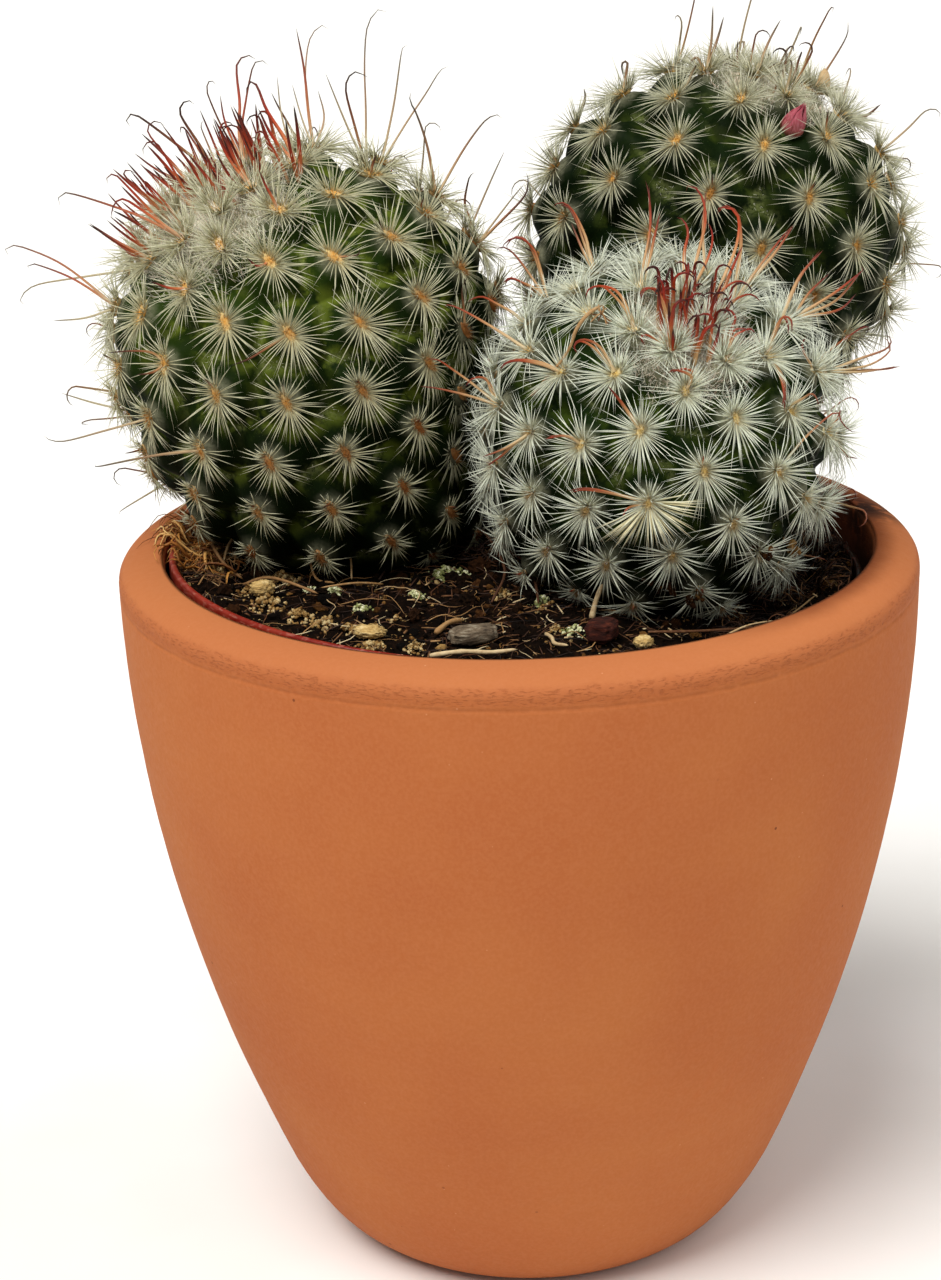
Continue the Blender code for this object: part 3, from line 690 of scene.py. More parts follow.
def set_camera():
    right, up, ahead = camera_axes()
    data = bpy.data.cameras.new("camera")
    data.lens = CAMERA_LENS
    data.sensor_width = SENSOR
    data.sensor_fit = "AUTO"
    data.clip_start = 0.01
    data.clip_end = 20.0
    camera = bpy.data.objects.new("camera", data)
    bpy.context.scene.collection.objects.link(camera)
    turn = Matrix((right, up, -ahead)).transposed().to_4x4()
    camera.matrix_world = Matrix.Translation(CAMERA_PLACE * MM) @ turn
    bpy.context.scene.camera = camera


def set_floor():
    look = Look("pale_floor", 0.6, 0.2)
    look.colour(look.mix(look.ranged(look.noise(60, 3), 0.35, 0.65), "F2F1EE", "F7F6F4"))
    corners = [(x * FLOOR_HALF, y * FLOOR_HALF, 0) for x, y in ((-1, -1), (1, -1), (1, 1), (-1, 1))]
    mesh = bpy.data.meshes.new("floor")
    mesh.from_pydata(corners, [], [(0, 1, 2, 3)])
    floor = bpy.data.objects.new("floor", mesh)
    mesh.materials.append(look.mat)
    bpy.context.scene.collection.objects.link(floor)


def soft_sun(name, away, spread, power, colour):
    """An even light from the direction away, as wide in the sky as its spread in degrees."""
    data = bpy.data.lights.new(name, "SUN")
    data.angle = math.radians(spread)
    data.energy = power
    data.color = colour
    light = bpy.data.objects.new(name, data)
    light.rotation_euler = Vector(away).to_track_quat("Z", "Y").to_euler()
    bpy.context.scene.collection.objects.link(light)


def set_lights():
    world = bpy.data.worlds.new("studio")
    world.use_nodes = True
    backdrop = world.node_tree.nodes["Background"]
    backdrop.inputs["Color"].default_value = (1.0, 0.99, 0.97, 1)
    backdrop.inputs["Strength"].default_value = 0.24
    bpy.context.scene.world = world
    bpy.context.scene.view_settings.view_transform = "Standard"
    soft_sun("key", (-0.35, -0.42, 1.0), 38, 3.3, (1.0, 0.985, 0.955))
    soft_sun("fill", (0.75, -0.15, 0.8), 70, 1.0, (1.0, 0.99, 0.97))


# Pots

def turned_mesh(profile, sides, offset=(0.0, 0.0)):
    """A solid of revolution from (radius, z) points that start and end on the axis."""
    profile = np.array(profile)
    angle = 2 * math.pi * np.arange(sides) / sides
    inner = profile[1:-1]
    rings = np.stack((inner[:, :1] * np.cos(angle) + offset[0], inner[:, :1] * np.sin(angle) + offset[1],
                      np.repeat(inner[:, 1:], sides, axis=1)), axis=-1)
    points = np.vstack(([(*offset, profile[0, 1])], rings.reshape(-1, 3), [(*offset, profile[-1, 1])]))
    here = np.arange(sides)
    after = (here + 1) % sides
    quads = ring_quads(len(inner) - 1, sides, 1)
    last = 1 + (len(inner) - 1) * sides
    tris = np.vstack((np.column_stack((np.zeros(sides, int), 1 + after, 1 + here)),
                      np.column_stack((last + here, last + after, np.full(sides, len(points) - 1)))))
    return points, quads, tris


def wall_radius(z):
    """Outer radius of the cover pot's bowed wall at height z, above the rounded bottom corner."""
    share = (WALL_TOP - z) / (WALL_TOP - CORNER_TOP)
    return RIM_RADIUS - WALL_TAPER * max(0.0, share) ** WALL_BOW


def corner_points(start, pull, end, count):
    """A quadratic curve from start to end, both left out."""
    t = np.arange(1, count)[:, None] / count
    return (1 - t) ** 2 * np.array(start) + 2 * t * (1 - t) * np.array(pull) + t ** 2 * np.array(end)


def inner_radius(z):
    return wall_radius(min(z, WALL_TOP)) - WALL_THICKNESS


def pot_profile():
    """The cover pot's outline: its base, its wall, its rounded lip and its inside."""
    profile = [(0.0, 0.0)]
    profile += [(r, 0.0) for r in np.linspace(4, BASE_RADIUS, 8)]
    corner_end = (wall_radius(CORNER_TOP), CORNER_TOP)
    profile += corner_points((BASE_RADIUS, 0.0), CORNER_PULL, corner_end, 12).tolist()
    heights = np.concatenate((np.linspace(CORNER_TOP, GROOVE_LEVEL - 1, 44),
                              np.arange(GROOVE_LEVEL - 0.8, WALL_TOP, 0.25)))
    profile += [(wall_radius(z), z) for z in heights]
    for t in np.linspace(0, 0.5 * math.pi, 18):
        profile.append((RIM_RADIUS - LIP_WIDTH + LIP_WIDTH * math.cos(t),
                        WALL_TOP + LIP_DROP * math.sin(t)))
    edge = inner_radius(WALL_TOP) - INNER_INSET
    for t in np.linspace(0.3, 0.5 * math.pi, 5):
        profile.append((edge + 0.9 * (1 - math.sin(t)), POT_HEIGHT - 1.1 * (1 - math.cos(t))))
    corner_top = FLOOR_THICKNESS + INNER_CORNER[1]
    profile += [(inner_radius(z) - INNER_INSET, z) for z in np.linspace(WALL_TOP, corner_top, 14)]
    floor_radius = inner_radius(corner_top) - INNER_CORNER[0]
    return profile + [(floor_radius + 2.4, FLOOR_THICKNESS + 1.2), (floor_radius, FLOOR_THICKNESS),
                      (0.0, FLOOR_THICKNESS)]


def cover_pot():
    """The clay pot, a little uneven outside, with its groove. inside is 1 on its inner wall and floor."""
    points, quads, tris = turned_mesh(pot_profile(), POT_SIDES)
    shaped, inside = [], []
    for x, y, z in points:
        reach = math.hypot(x, y)
        swell = 0.0
        if reach > inner_radius(z) + 2.0 and z > 3:
            swell = 0.12 * noise_at(x / 28, y / 28, z / 14) + 0.03 * noise_at(x / 5, y / 5, z / 1.6)
            swell -= 0.12 * ease((z - GROOVE_LEVEL) / 0.3) * ease((GROOVE_LEVEL + 0.8 - z) / 0.3)
        scale = 1 + swell / max(reach, 1.0)
        shaped.append((x * scale, y * scale, z))
        inside.append(float(reach < inner_radius(z) + 0.6 and z > FLOOR_THICKNESS - 1))
    soup = Soup()
    soup.add(shaped, quads, tris, inside=np.array(inside))
    show("cover_pot_fired_clay", soup, terracotta_look(), "cover_pot_terracotta")


def liner_radius(z):
    """Outer radius of the nursery pot's straight wall."""
    share = (z - LINER_FLOOR) / (LINER_LIP_BASE - LINER_FLOOR)
    return blend(LINER_BASE_RADIUS, LINER_WALL_TOP_RADIUS, share)


def sloped(x, y, z):
    """A height in the nursery pot once its soft wall is pushed down at the right, most at the rim."""
    lowered = LINER_SLOPE * (x * LINER_LEAN[0] + y * LINER_LEAN[1] + LINER_LIP_RADIUS)
    return z - lowered * (z - LINER_FLOOR) / (LINER_TOP - LINER_FLOOR)


def liner_profile():
    """The nursery pot's outline: its floor, its wall, its wider lip and its inside."""
    inside = LINER_LIP_RADIUS - LINER_WALL
    floor_top = LINER_FLOOR + LINER_WALL
    ledge = LINER_LIP_BASE + LINER_WALL
    profile = [(0.0, LINER_FLOOR), (8.0, LINER_FLOOR), (26.0, LINER_FLOOR),
               (LINER_BASE_RADIUS - 1.0, LINER_FLOOR), (LINER_BASE_RADIUS - 0.3, LINER_FLOOR + 0.3),
               (LINER_BASE_RADIUS, LINER_FLOOR + 1.0),
               (LINER_WALL_TOP_RADIUS, LINER_LIP_BASE), (LINER_LIP_RADIUS - 0.3, LINER_LIP_BASE),
               (LINER_LIP_RADIUS, LINER_LIP_BASE + 0.4), (LINER_LIP_RADIUS, LINER_TOP - 0.7)]
    for t in np.linspace(0.2, math.pi, 8):
        profile.append((inside + 0.5 * LINER_WALL + 0.5 * LINER_WALL * math.cos(t),
                        LINER_TOP - 0.5 + 0.5 * math.sin(t)))
    return profile + [(inside - 0.25, LINER_LIP_BASE + 2.0), (inside - 0.4, ledge),
                      (LINER_WALL_TOP_RADIUS - LINER_WALL, ledge),
                      (liner_radius(floor_top) - LINER_WALL, floor_top),
                      (26.0, floor_top), (8.0, floor_top), (0.0, floor_top)]


def nursery_pot():
    points, quads, tris = turned_mesh(liner_profile(), LINER_SIDES, LINER_OFFSET)
    points[:, 2] = sloped(*points.T)
    soup = Soup()
    soup.add(points, quads, tris)
    liner = show("nursery_pot_plastic", soup, plastic_look(), "nursery_pot")
    bm = bmesh.new()
    for i in range(DRAIN_HOLES):
        angle = 2 * math.pi * (i + 0.5) / DRAIN_HOLES
        place = Vector((math.cos(angle) * DRAIN_CIRCLE + LINER_OFFSET[0], math.sin(angle) * DRAIN_CIRCLE,
                        LINER_FLOOR))
        bmesh.ops.create_cone(bm, cap_ends=True, segments=32, radius1=DRAIN_RADIUS * MM,
                              radius2=DRAIN_RADIUS * MM, depth=4 * LINER_WALL * MM,
                              matrix=Matrix.Translation(place * MM))
    mesh = bpy.data.meshes.new("drain_cutter")
    bm.to_mesh(mesh)
    bm.free()
    cutter = bpy.data.objects.new("drain_cutter", mesh)
    bpy.context.scene.collection.objects.link(cutter)
    modifier = liner.modifiers.new("drain holes", "BOOLEAN")
    modifier.operation = "DIFFERENCE"
    modifier.object = cutter
    evaluated = liner.evaluated_get(bpy.context.evaluated_depsgraph_get())
    liner.data = bpy.data.meshes.new_from_object(evaluated)
    liner.modifiers.clear()
    bpy.data.objects.remove(cutter)


# Potting mix

# Loose pieces on the mix: node, place, half sizes, turn in degrees
LOOSE_PIECES = [
    ("bark_chip_grey", (-6.0, -37.6), (5.0, 2.4, 1.5), 14),
    ("bark_chip_brown", (11.0, -37.2), (3.6, 3.0, 1.8), 70),
    ("pale_grain_left", (-37.4, -16.6), (2.2, 1.8, 1.5), 20),
    ("pale_grain_middle", (-21.0, -34.2), (3.2, 1.8, 1.3), -12),
    ("pale_grain_right", (17.0, -39.2), (1.9, 1.6, 1.3), 35),
]


def ease(x):
    """smooth for one number, without numpy's overhead."""
    x = max(0.0, min(1.0, x))
    return x * x * (3 - 2 * x)


def rough_height(x, y):
    """The mix's surface before the loose pieces' beds are pressed into it."""
    fall = SOIL_FALL_RIGHT * ease((x - 8.0) / 38.0)
    lumps = noise_at(x / 12.0, y / 12.0, 2.0) + 0.6 * noise_at(x / 6.5, y / 6.5, 7.0)
    edge = ease((SOIL_EDGE_RADIUS - math.hypot(x - LINER_OFFSET[0], y)) / 6.0)
    return SOIL_LEVEL - fall + SOIL_RELIEF * lumps * edge


def soil_height(x, y):
    height = rough_height(x, y)
    for _, place, half, _ in LOOSE_PIECES:
        away = math.hypot(x - place[0], y - place[1]) - max(half)
        if away < LOOSE_BED_BLEND:
            height += (rough_height(*place) - height) * ease(1 - away / LOOSE_BED_BLEND)
    return height


def crumbly(x, y):
    """Crumbs and hollows that are finer than the solid's surface."""
    coarse = noise.voronoi(Vector((x / 2.7, y / 2.7, 0.3)))[0][0]
    fine = noise.voronoi(Vector((x / 1.25, y / 1.25, 5.1)))[0][0]
    swell = noise_at(x / 4.5, y / 4.5, 9.0)
    grit = noise_at(x / 0.9, y / 0.9, 3.0)
    return 1.1 * (0.45 - coarse) + 0.5 * (0.45 - fine) + 0.55 * swell + 0.18 * grit


def mix_height(x, y):
    """The crumbly top, which near the nursery pot's wall keeps between its ledge and its rim, and at the
    right is heaped against it."""
    away = math.hypot(x - LINER_OFFSET[0], y - LINER_OFFSET[1])
    height = soil_height(x, y)
    rim = sloped(x, y, LINER_TOP)
    kept = max(sloped(x, y, LINER_LIP_BASE + LINER_WALL) + 1.0, min(height, rim - 0.6))
    kept += (rim - 0.3 - kept) * 0.8 * ease((x - 14.0) / 16.0)
    height = height + (kept - height) * ease((away - 44.5) / 3.0)
    return height + crumbly(x, y) * (1 - 0.5 * ease((away - 47.0) / 2.5))


def mix_heights(places):
    return np.array([mix_height(x, y) for x, y in places])


def ground(x, y):
    """The height that spines stay above: that of the mix, of the rims or of the floor."""
    if math.hypot(x - LINER_OFFSET[0], y) < SOIL_EDGE_RADIUS - 0.5:
        return soil_height(x, y)
    return POT_HEIGHT if math.hypot(x, y) < RIM_RADIUS + 2 else 0.0


def above_ground(points, clearance):
    """Lifts points that would lie in the mix or in a pot's rim."""
    points = points.copy()
    flat = points.reshape(-1, 3)
    low = np.flatnonzero(flat[:, 2] < POT_HEIGHT + clearance + 1)
    for i in low:
        flat[i, 2] = max(flat[i, 2], ground(flat[i, 0], flat[i, 1]) + clearance)
    return points


def disc_grid(cells, radius):
    """A square grid pressed evenly into a disc, and the indices of its rim in order."""
    line = np.linspace(-1, 1, cells + 1)
    a, b = np.meshgrid(line, line, indexing="ij")
    wide = np.abs(a) > np.abs(b)
    longer = np.where(wide, a, b)
    shorter = np.where(wide, b, a)
    angle = 0.25 * math.pi * shorter / np.where(longer == 0, 1, longer)
    x = longer * np.where(wide, np.cos(angle), np.sin(angle))
    y = longer * np.where(wide, np.sin(angle), np.cos(angle))
    index = np.arange((cells + 1) ** 2).reshape(cells + 1, cells + 1)
    corners = (index[:-1, :-1], index[1:, :-1], index[1:, 1:], index[:-1, 1:])
    quads = np.stack(corners, axis=-1).reshape(-1, 4)
    rim = np.concatenate((index[:-1, 0], index[-1, :-1], index[:0:-1, -1], index[0, :0:-1]))
    return np.column_stack((x.ravel(), y.ravel())) * radius, quads, rim


def show_mix(name, soup, look, flat=False):
    show(name, soup, look, "potting_mix", flat)


def mix_body():
    """The mix's crumbly top, and its plain side and floor inside the nursery pot."""
    places, quads, rim = disc_grid(SOIL_CELLS, SOIL_REACH)
    offset = np.array(LINER_OFFSET)
    places = places + offset
    points = [np.column_stack((places, mix_heights(places)))]
    faces = [quads]
    around = unit(places[rim] - offset)
    last = rim
    count = len(places)
    low = LINER_FLOOR + LINER_WALL + GAP
    ledge = LINER_LIP_BASE + LINER_WALL + GAP
    for radius, z in ((SOIL_REACH, ledge), (LINER_WALL_TOP_RADIUS - LINER_WALL - GAP - 0.1, ledge - 0.2),
                      (liner_radius(low) - LINER_WALL - GAP, low)):
        level = around * radius + offset
        points.append(np.column_stack((level, sloped(*level.T, z))))
        new = count + np.arange(len(rim))
        faces.append(np.column_stack((new, np.roll(new, -1), np.roll(last, -1), last)))
        last = new
        count += len(rim)
    points.append(np.array([(*LINER_OFFSET, low)]))
    tris = np.column_stack((np.full(len(rim), count), np.roll(last, -1), last))
    soup = Soup()
    soup.add(np.vstack(points), np.vstack(faces), tris)
    show_mix("mix_surface", soup, soil_look())


def open_places(rng, count, reach):
    """Random places on the mix, outside the heads' feet."""
    found = []
    while len(found) < count:
        angle = rng.uniform(0, 2 * math.pi)
        away = reach * math.sqrt(rng.uniform(0, 1))
        place = np.array((LINER_OFFSET[0] + away * math.cos(angle), away * math.sin(angle)))
        level = np.array([(*place, soil_height(*place) + 1.0)])
        if min(head_share(head, level)[0] for head in HEADS) > 1.0:
            found.append(place)
    return np.array(found)


def lumpy_shapes(rng, count, points, flat=0.7):
    """Irregular lumps: every copy of a ball's points has its own dents."""
    dents = rng.uniform(0.68, 1.15, (count, len(points), 1))
    squash = rng.uniform(0.55, 1.0, (count, 1, 3))
    squash[:, :, 2] *= flat
    return points[None] * dents * squash


def grain():
    """An eight-sided grain, for the finest crumbs."""
    points = np.array([(1, 0, 0), (-1, 0, 0), (0, 1, 0), (0, -1, 0), (0, 0, 1), (0, 0, -1)], float)
    tris = [(0, 2, 4), (2, 1, 4), (1, 3, 4), (3, 0, 4), (2, 0, 5), (1, 2, 5), (3, 1, 5), (0, 3, 5)]
    return points, np.array(tris)


# Crumbs: their form, their number, and their least and greatest size
CRUMBS = ((grain(), 4600, 0.22, 0.62), (ball(1), 560, 0.6, 1.1), (ball(2), 150, 1.0, 1.7),
          (ball(3), 24, 1.5, 2.3))

# Clusters on the mix: x, y and size
GRIT_SPOTS = (
    (-35.2, -6.4, 2.1), (-36.6, -19.5, 1.9), (-31.6, -23.4, 1.8), (-28.0, -27.0, 1.5), (-24.1, -29.4, 1.6),
    (-20.9, -36.4, 1.7), (-14.5, -38.5, 1.3), (-2.8, -16.3, 1.3), (3.5, -23.0, 1.1), (12.5, -30.5, 1.2),
    (-44.6, -3.0, 1.8), (5.0, -32.0, 1.0), (22.0, -36.5, 1.0), (-40.0, -10.5, 1.3), (-17.5, -26.0, 1.1),
)
LICHEN_SPOTS = (
    (-11.0, -6.2, 1.9), (-8.6, -7.4, 1.4), (7.5, -32.9, 1.2), (3.0, -19.0, 1.6), (-27.2, -14.3, 1.5),
    (-30.5, -12.5, 1.1), (9.6, -35.4, 1.1), (-14.8, -17.5, 1.2), (24.5, -34.0, 1.0), (-23.0, -21.0, 1.1),
)


def crumbs():
    rng = np.random.default_rng(5)
    soup = Soup()
    for (points, tris), count, small, large in CRUMBS:
        places = open_places(rng, count, CRUMB_REACH)
        sizes = small + (large - small) * rng.uniform(0, 1, count) ** 2.2
        heights = mix_heights(places) + sizes * rng.uniform(-0.25, 0.3, count)
        shape = lumpy_shapes(rng, count, points) * sizes[:, None, None]
        shade = np.clip(rng.normal(0.3, 0.2, count), 0, 0.72)
        pale = rng.uniform(0, 1, count) < np.where(sizes < 0.9, 0.12, 0.03)
        shade = np.where(pale, rng.uniform(0.72, 0.95, count), shade)
        soup.add_copies(shape, tris, np.column_stack((places, heights)), random_turns(rng, count),
                        shade=shade)
    show_mix("mix_crumbs", soup, crumb_look(), flat=True)


def grain_clusters():
    """Tan and yellowish clusters of grit, and pale green lichen."""
    rng = np.random.default_rng(8)
    points, tris = ball(1)
    for spots, name, look, tones in ((GRIT_SPOTS, "mix_tan_grit", crumb_look(), (0.74, 0.97)),
                                     (LICHEN_SPOTS, "mix_lichen", lichen_look(), (0.1, 0.9))):
        soup = Soup()
        for x, y, size in spots:
            count = int(56 * size)
            spread = rng.normal(0, 0.55 * size, (count, 2))
            places = np.array((x, y)) + spread
            sizes = rng.uniform(0.18, 0.44, count) * (0.6 + 0.4 * size)
            lift = np.maximum(0, 1 - np.linalg.norm(spread, axis=1) / size) * size * 0.8
            heights = mix_heights(places) + lift * rng.uniform(0.3, 1, count)
            shape = lumpy_shapes(rng, count, points, 0.85) * sizes[:, None, None]
            soup.add_copies(shape, tris, np.column_stack((places, heights)), random_turns(rng, count),
                            shade=rng.uniform(*tones, count))
        show_mix(name, soup, look)


def wandering(rng, start, heading, length, count, wander):
    """A level path that turns a little at each step."""
    turns = heading + np.cumsum(rng.normal(0, wander, count))
    steps = np.column_stack((np.cos(turns), np.sin(turns))) * length / (count - 1)
    return np.array(start) + np.vstack((np.zeros((1, 2)), np.cumsum(steps, axis=0)[:-1]))


def laid(path, arch, lift):
    """Lays a level path over the mix, with an arch that lifts it between its ends."""
    share = np.linspace(0, 1, len(path))
    reach = np.linalg.norm(path - np.array(LINER_OFFSET), axis=1)
    inside = np.minimum(1, LAID_REACH / np.maximum(reach, 1e-6))[:, None]
    path = np.array(LINER_OFFSET) + (path - np.array(LINER_OFFSET)) * inside
    heights = mix_heights(path) + lift + arch * np.sin(math.pi * share)
    return np.column_stack((path, evened(heights)))


def rest_height(x, y):
    """The height of what carries a loose root: the mix, the nursery pot's rim or the cover pot's lip."""
    away = math.hypot(x, y)
    if math.hypot(x - LINER_OFFSET[0], y) < LINER_LIP_RADIUS - 1.4:
        return mix_height(x, y)
    share = (away - RIM_RADIUS + LIP_WIDTH) / LIP_WIDTH
    if share < 0:
        return sloped(x, y, LINER_TOP) + 0.1
    return WALL_TOP + LIP_DROP * math.sqrt(max(0.0, 1 - share ** 2))


def tangle(rng, length):
    """Dry brown roots that creep from the mix's left end over both rims."""
    paths, radii = [], []
    share = np.linspace(0, 1, length)
    for _ in range(260):
        start = np.array((-47.0, 3.0)) + rng.normal(0, 1, 2) * (2.0, 3.6)
        path = wandering(rng, start, rng.normal(math.pi, 1.1), rng.uniform(3, 8.5), length, 0.45)
        heights = evened(np.array([rest_height(x, y) for x, y in path]))
        lift = 0.15 + rng.uniform(0, 1.6) * (1 - share) + rng.uniform(0, 2.2) * np.sin(math.pi * share)
        paths.append(np.column_stack((path, heights + lift)))
        radii.append(0.07 + 0.26 * rng.uniform(0, 1) ** 2.5)
    return paths, radii


# Where fibres gather on the mix: x, y, spread, number, shade and lift
FIBRE_SPOTS = (
    (-46.0, 1.5, 3.0, 70, 0.6, 2.6), (-46.5, -6.0, 2.6, 30, 0.5, 1.6), (-46.0, 9.0, 3.0, 40, 0.55, 2.4),
    (43.0, -8.0, 5.5, 110, 0.35, 2.2), (46.0, 8.0, 4.5, 90, 0.3, 2.2), (33.0, -27.0, 5.0, 70, 0.35, 1.5),
    (-3.0, 0.5, 3.5, 60, 0.35, 2.0),
)


def fibres():
    """Fine roots and peat fibres over the mix, thickest at its left end and along the right wall."""
    rng = np.random.default_rng(12)
    length = 8
    paths, radii, shades = [], [], []
    for start in open_places(rng, 640, FIBRE_REACH):
        long = rng.uniform(2.0, 9.5)
        path = wandering(rng, start, rng.uniform(0, 2 * math.pi), long, length, 0.32)
        paths.append(laid(path, rng.uniform(0, 0.16) * long, 0.1))
        radii.append(rng.uniform(0.045, 0.11))
        shades.append(np.clip(rng.normal(0.48, 0.26), 0, 1))
    for x, y, spread, count, tone, lift in FIBRE_SPOTS:
        for _ in range(count):
            start = np.array((x, y)) + rng.normal(0, spread * 0.6, 2)
            path = wandering(rng, start, rng.uniform(0, 2 * math.pi), rng.uniform(3, 9), length, 0.6)
            paths.append(laid(path, rng.uniform(0.1, 1.0) * lift, rng.uniform(0.1, 0.5) * lift))
            radii.append(rng.uniform(0.05, 0.14))
            shades.append(np.clip(rng.normal(tone, 0.15), 0, 1))
    taper = np.interp(np.linspace(0, 1, length), (0, 0.15, 0.7, 1), (0.6, 1, 0.8, 0.3))
    soup = Soup()
    soup.add_tubes(np.array(paths), np.array(radii)[:, None] * taper, shade=np.array(shades))
    show_mix("mix_fibres", soup, fibre_look())
    creeping, thick = tangle(rng, length)
    roots = Soup()
    roots.add_tubes(np.array(creeping), np.array(thick)[:, None] * taper,
                    shade=rng.uniform(0, 1, len(thick)))
    show_mix("mix_root_tangle", roots, tangle_look())


def chaff():
    """Short stiff bits of straw, bark and needles that lie in all directions."""
    rng = np.random.default_rng(14)
    count = 900
    places = open_places(rng, count, CHAFF_REACH)
    heading = rng.uniform(0, 2 * math.pi, count)
    tilt = rng.normal(0, 0.35, count)
    way = np.column_stack((np.cos(heading) * np.cos(tilt), np.sin(heading) * np.cos(tilt), np.sin(tilt)))
    long = rng.uniform(0.8, 3.4, count)[:, None]
    middle = np.column_stack((places, mix_heights(places) + rng.uniform(0.05, 0.5, count)))
    side = np.cross(way, (0, 0, 1)) * rng.normal(0, 0.12, (count, 1)) * long
    t = np.array((-0.5, -0.2, 0.2, 0.5))[None, :, None]
    paths = middle[:, None] + t * (way * long)[:, None] + (0.25 - t ** 2) * side[:, None]
    straw = rng.uniform(0, 1, count) < 0.16
    shade = np.where(straw, rng.uniform(0.7, 1, count), rng.uniform(0.05, 0.6, count))
    soup = Soup()
    soup.add_tubes(paths, rng.uniform(0.06, 0.2, (count, 1)) * np.array((0.8, 1, 0.9, 0.3)), shade=shade)
    show_mix("mix_chaff", soup, fibre_look())


# Sticks, straws and thick roots on the mix: points as x, y and lift above the mix, thickness, shade
STICKS = [
    ([(-12.4, -44.6, 0.9), (-8.0, -44.4, 1.0), (-4.0, -43.6, 0.9), (-0.3, -42.9, 1.1)], 0.36, 0.92),
    ([(10.2, -27.6, 0.0), (11.0, -26.0, 2.0), (12.3, -23.6, 4.6)], 0.42, 0.9),
    ([(-11.8, -33.8, 0.4), (-10.0, -31.0, 0.9), (-8.0, -28.6, 1.0)], 0.48, 0.74),
    ([(3.6, -34.2, 0.3), (4.4, -37.6, 1.0), (4.8, -40.6, 1.1), (6.6, -43.6, 1.3)], 0.3, 0.88),
    ([(-41.0, -8.0, 0.6), (-37.5, -10.0, 1.5), (-34.0, -14.5, 1.3), (-29.0, -18.5, 0.8)], 0.28, 0.66),
    ([(-34.0, -1.5, 5.5), (-31.5, -5.0, 3.5), (-30.0, -9.0, 1.6), (-27.0, -13.0, 0.6)], 0.22, 0.7),
    ([(-25.8, -3.0, 7.5), (-24.9, -7.0, 3.5), (-24.7, -10.0, 0.8)], 0.2, 0.8),
    ([(-20.0, -12.0, 0.5), (-24.0, -14.5, 1.4), (-29.0, -16.0, 0.8)], 0.18, 0.75),
    ([(-4.0, -20.0, 0.3), (-2.0, -14.0, 2.6), (-3.5, -8.0, 4.4), (-5.5, -4.0, 5.8)], 0.22, 0.4),
    ([(0.5, -12.0, 0.3), (2.2, -16.0, 2.0), (2.8, -22.0, 0.6)], 0.24, 0.42),
    ([(18.0, -33.0, 0.4), (25.0, -31.0, 1.6), (33.0, -26.0, 1.4), (40.0, -18.0, 0.8)], 0.22, 0.5),
    ([(24.0, -38.0, 0.5), (31.0, -34.0, 1.8), (36.0, -29.0, 0.9)], 0.16, 0.84),
    ([(34.0, -24.0, 0.5), (39.0, -20.0, 2.4), (44.0, -12.0, 1.5)], 0.16, 0.8),
    ([(-45.0, 4.0, 2.0), (-46.0, 0.0, 3.4), (-44.0, -4.0, 2.0), (-41.0, -6.0, 0.6)], 0.3, 0.62),
    ([(-41.0, 3.0, 6.0), (-43.5, 0.5, 3.8), (-44.5, -2.0, 1.0)], 0.24, 0.78),
]


def sticks():
    length = 18
    taper = np.interp(np.linspace(0, 1, length), (0, 0.06, 0.9, 1), (0.75, 1, 0.8, 0.4))
    soup = Soup()
    for points, radius, shade in STICKS:
        path = smooth_curve([(x, y, mix_height(x, y) + lift + radius) for x, y, lift in points], length)
        bumps = np.array([1 + 0.25 * noise.noise(Vector(p) / 1.1) for p in path])
        soup.add_tubes(path[None], radius * taper * bumps, 8, shade=np.array([shade]))
    show_mix("mix_sticks", soup, fibre_look())


def loose_pieces():
    """Each chip or grain is a rough lump that fills its solid's box."""
    grain_kind = (bark_look("tan_grain", "8A6A3A", "C4A468", "E2CD9A"), "mineral_grain", 0.85, 2.2)
    kinds = {
        "bark_chip_grey": (bark_look("grey_bark", "2E261F", "6B5C4A", "A39A86"), "bark_grey", 0.62, 1.0),
        "bark_chip_brown": (bark_look("brown_bark", "140705", "36140C", "5C2A1A"), "bark_brown", 0.62, 1.0),
    }
    points, tris = ball(4)
    for number, (node, _, half, turn) in enumerate(LOOSE_PIECES):
        look, slot, roundness, rough = kinds.get(node, grain_kind)
        low, high = (np.array(corner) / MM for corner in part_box(node))
        blocky = np.sign(points) * np.abs(points) ** roundness
        shape = []
        for p, q in zip(points, blocky):
            spot = Vector(p) * 2.2 + Vector((number * 9.0, 0, 0))
            pit = 0.5 - noise.voronoi(spot * 2.4)[0][0]
            dent = 1 + rough * (0.16 * noise.noise(spot * rough) + 0.1 * pit)
            dent += 0.05 * noise_at(p[0] * 4, p[1] * 4, p[2] * 14 + number)
            shape.append(q * dent)
        cos, sin = math.cos(math.radians(turn)), math.sin(math.radians(turn))
        shape = (np.array(shape) * np.array(half)) @ np.array(((cos, sin, 0), (-sin, cos, 0), (0, 0, 1)))
        size = (high - low) * (1.0, 1.0, 1.12)
        shape = (shape - shape.min(0)) / np.ptp(shape, axis=0) * size + low - (0, 0, 0.25)
        soup = Soup()
        soup.add(shape, tris=tris)
        show(node + "_looks", soup, look, node)


# Heads

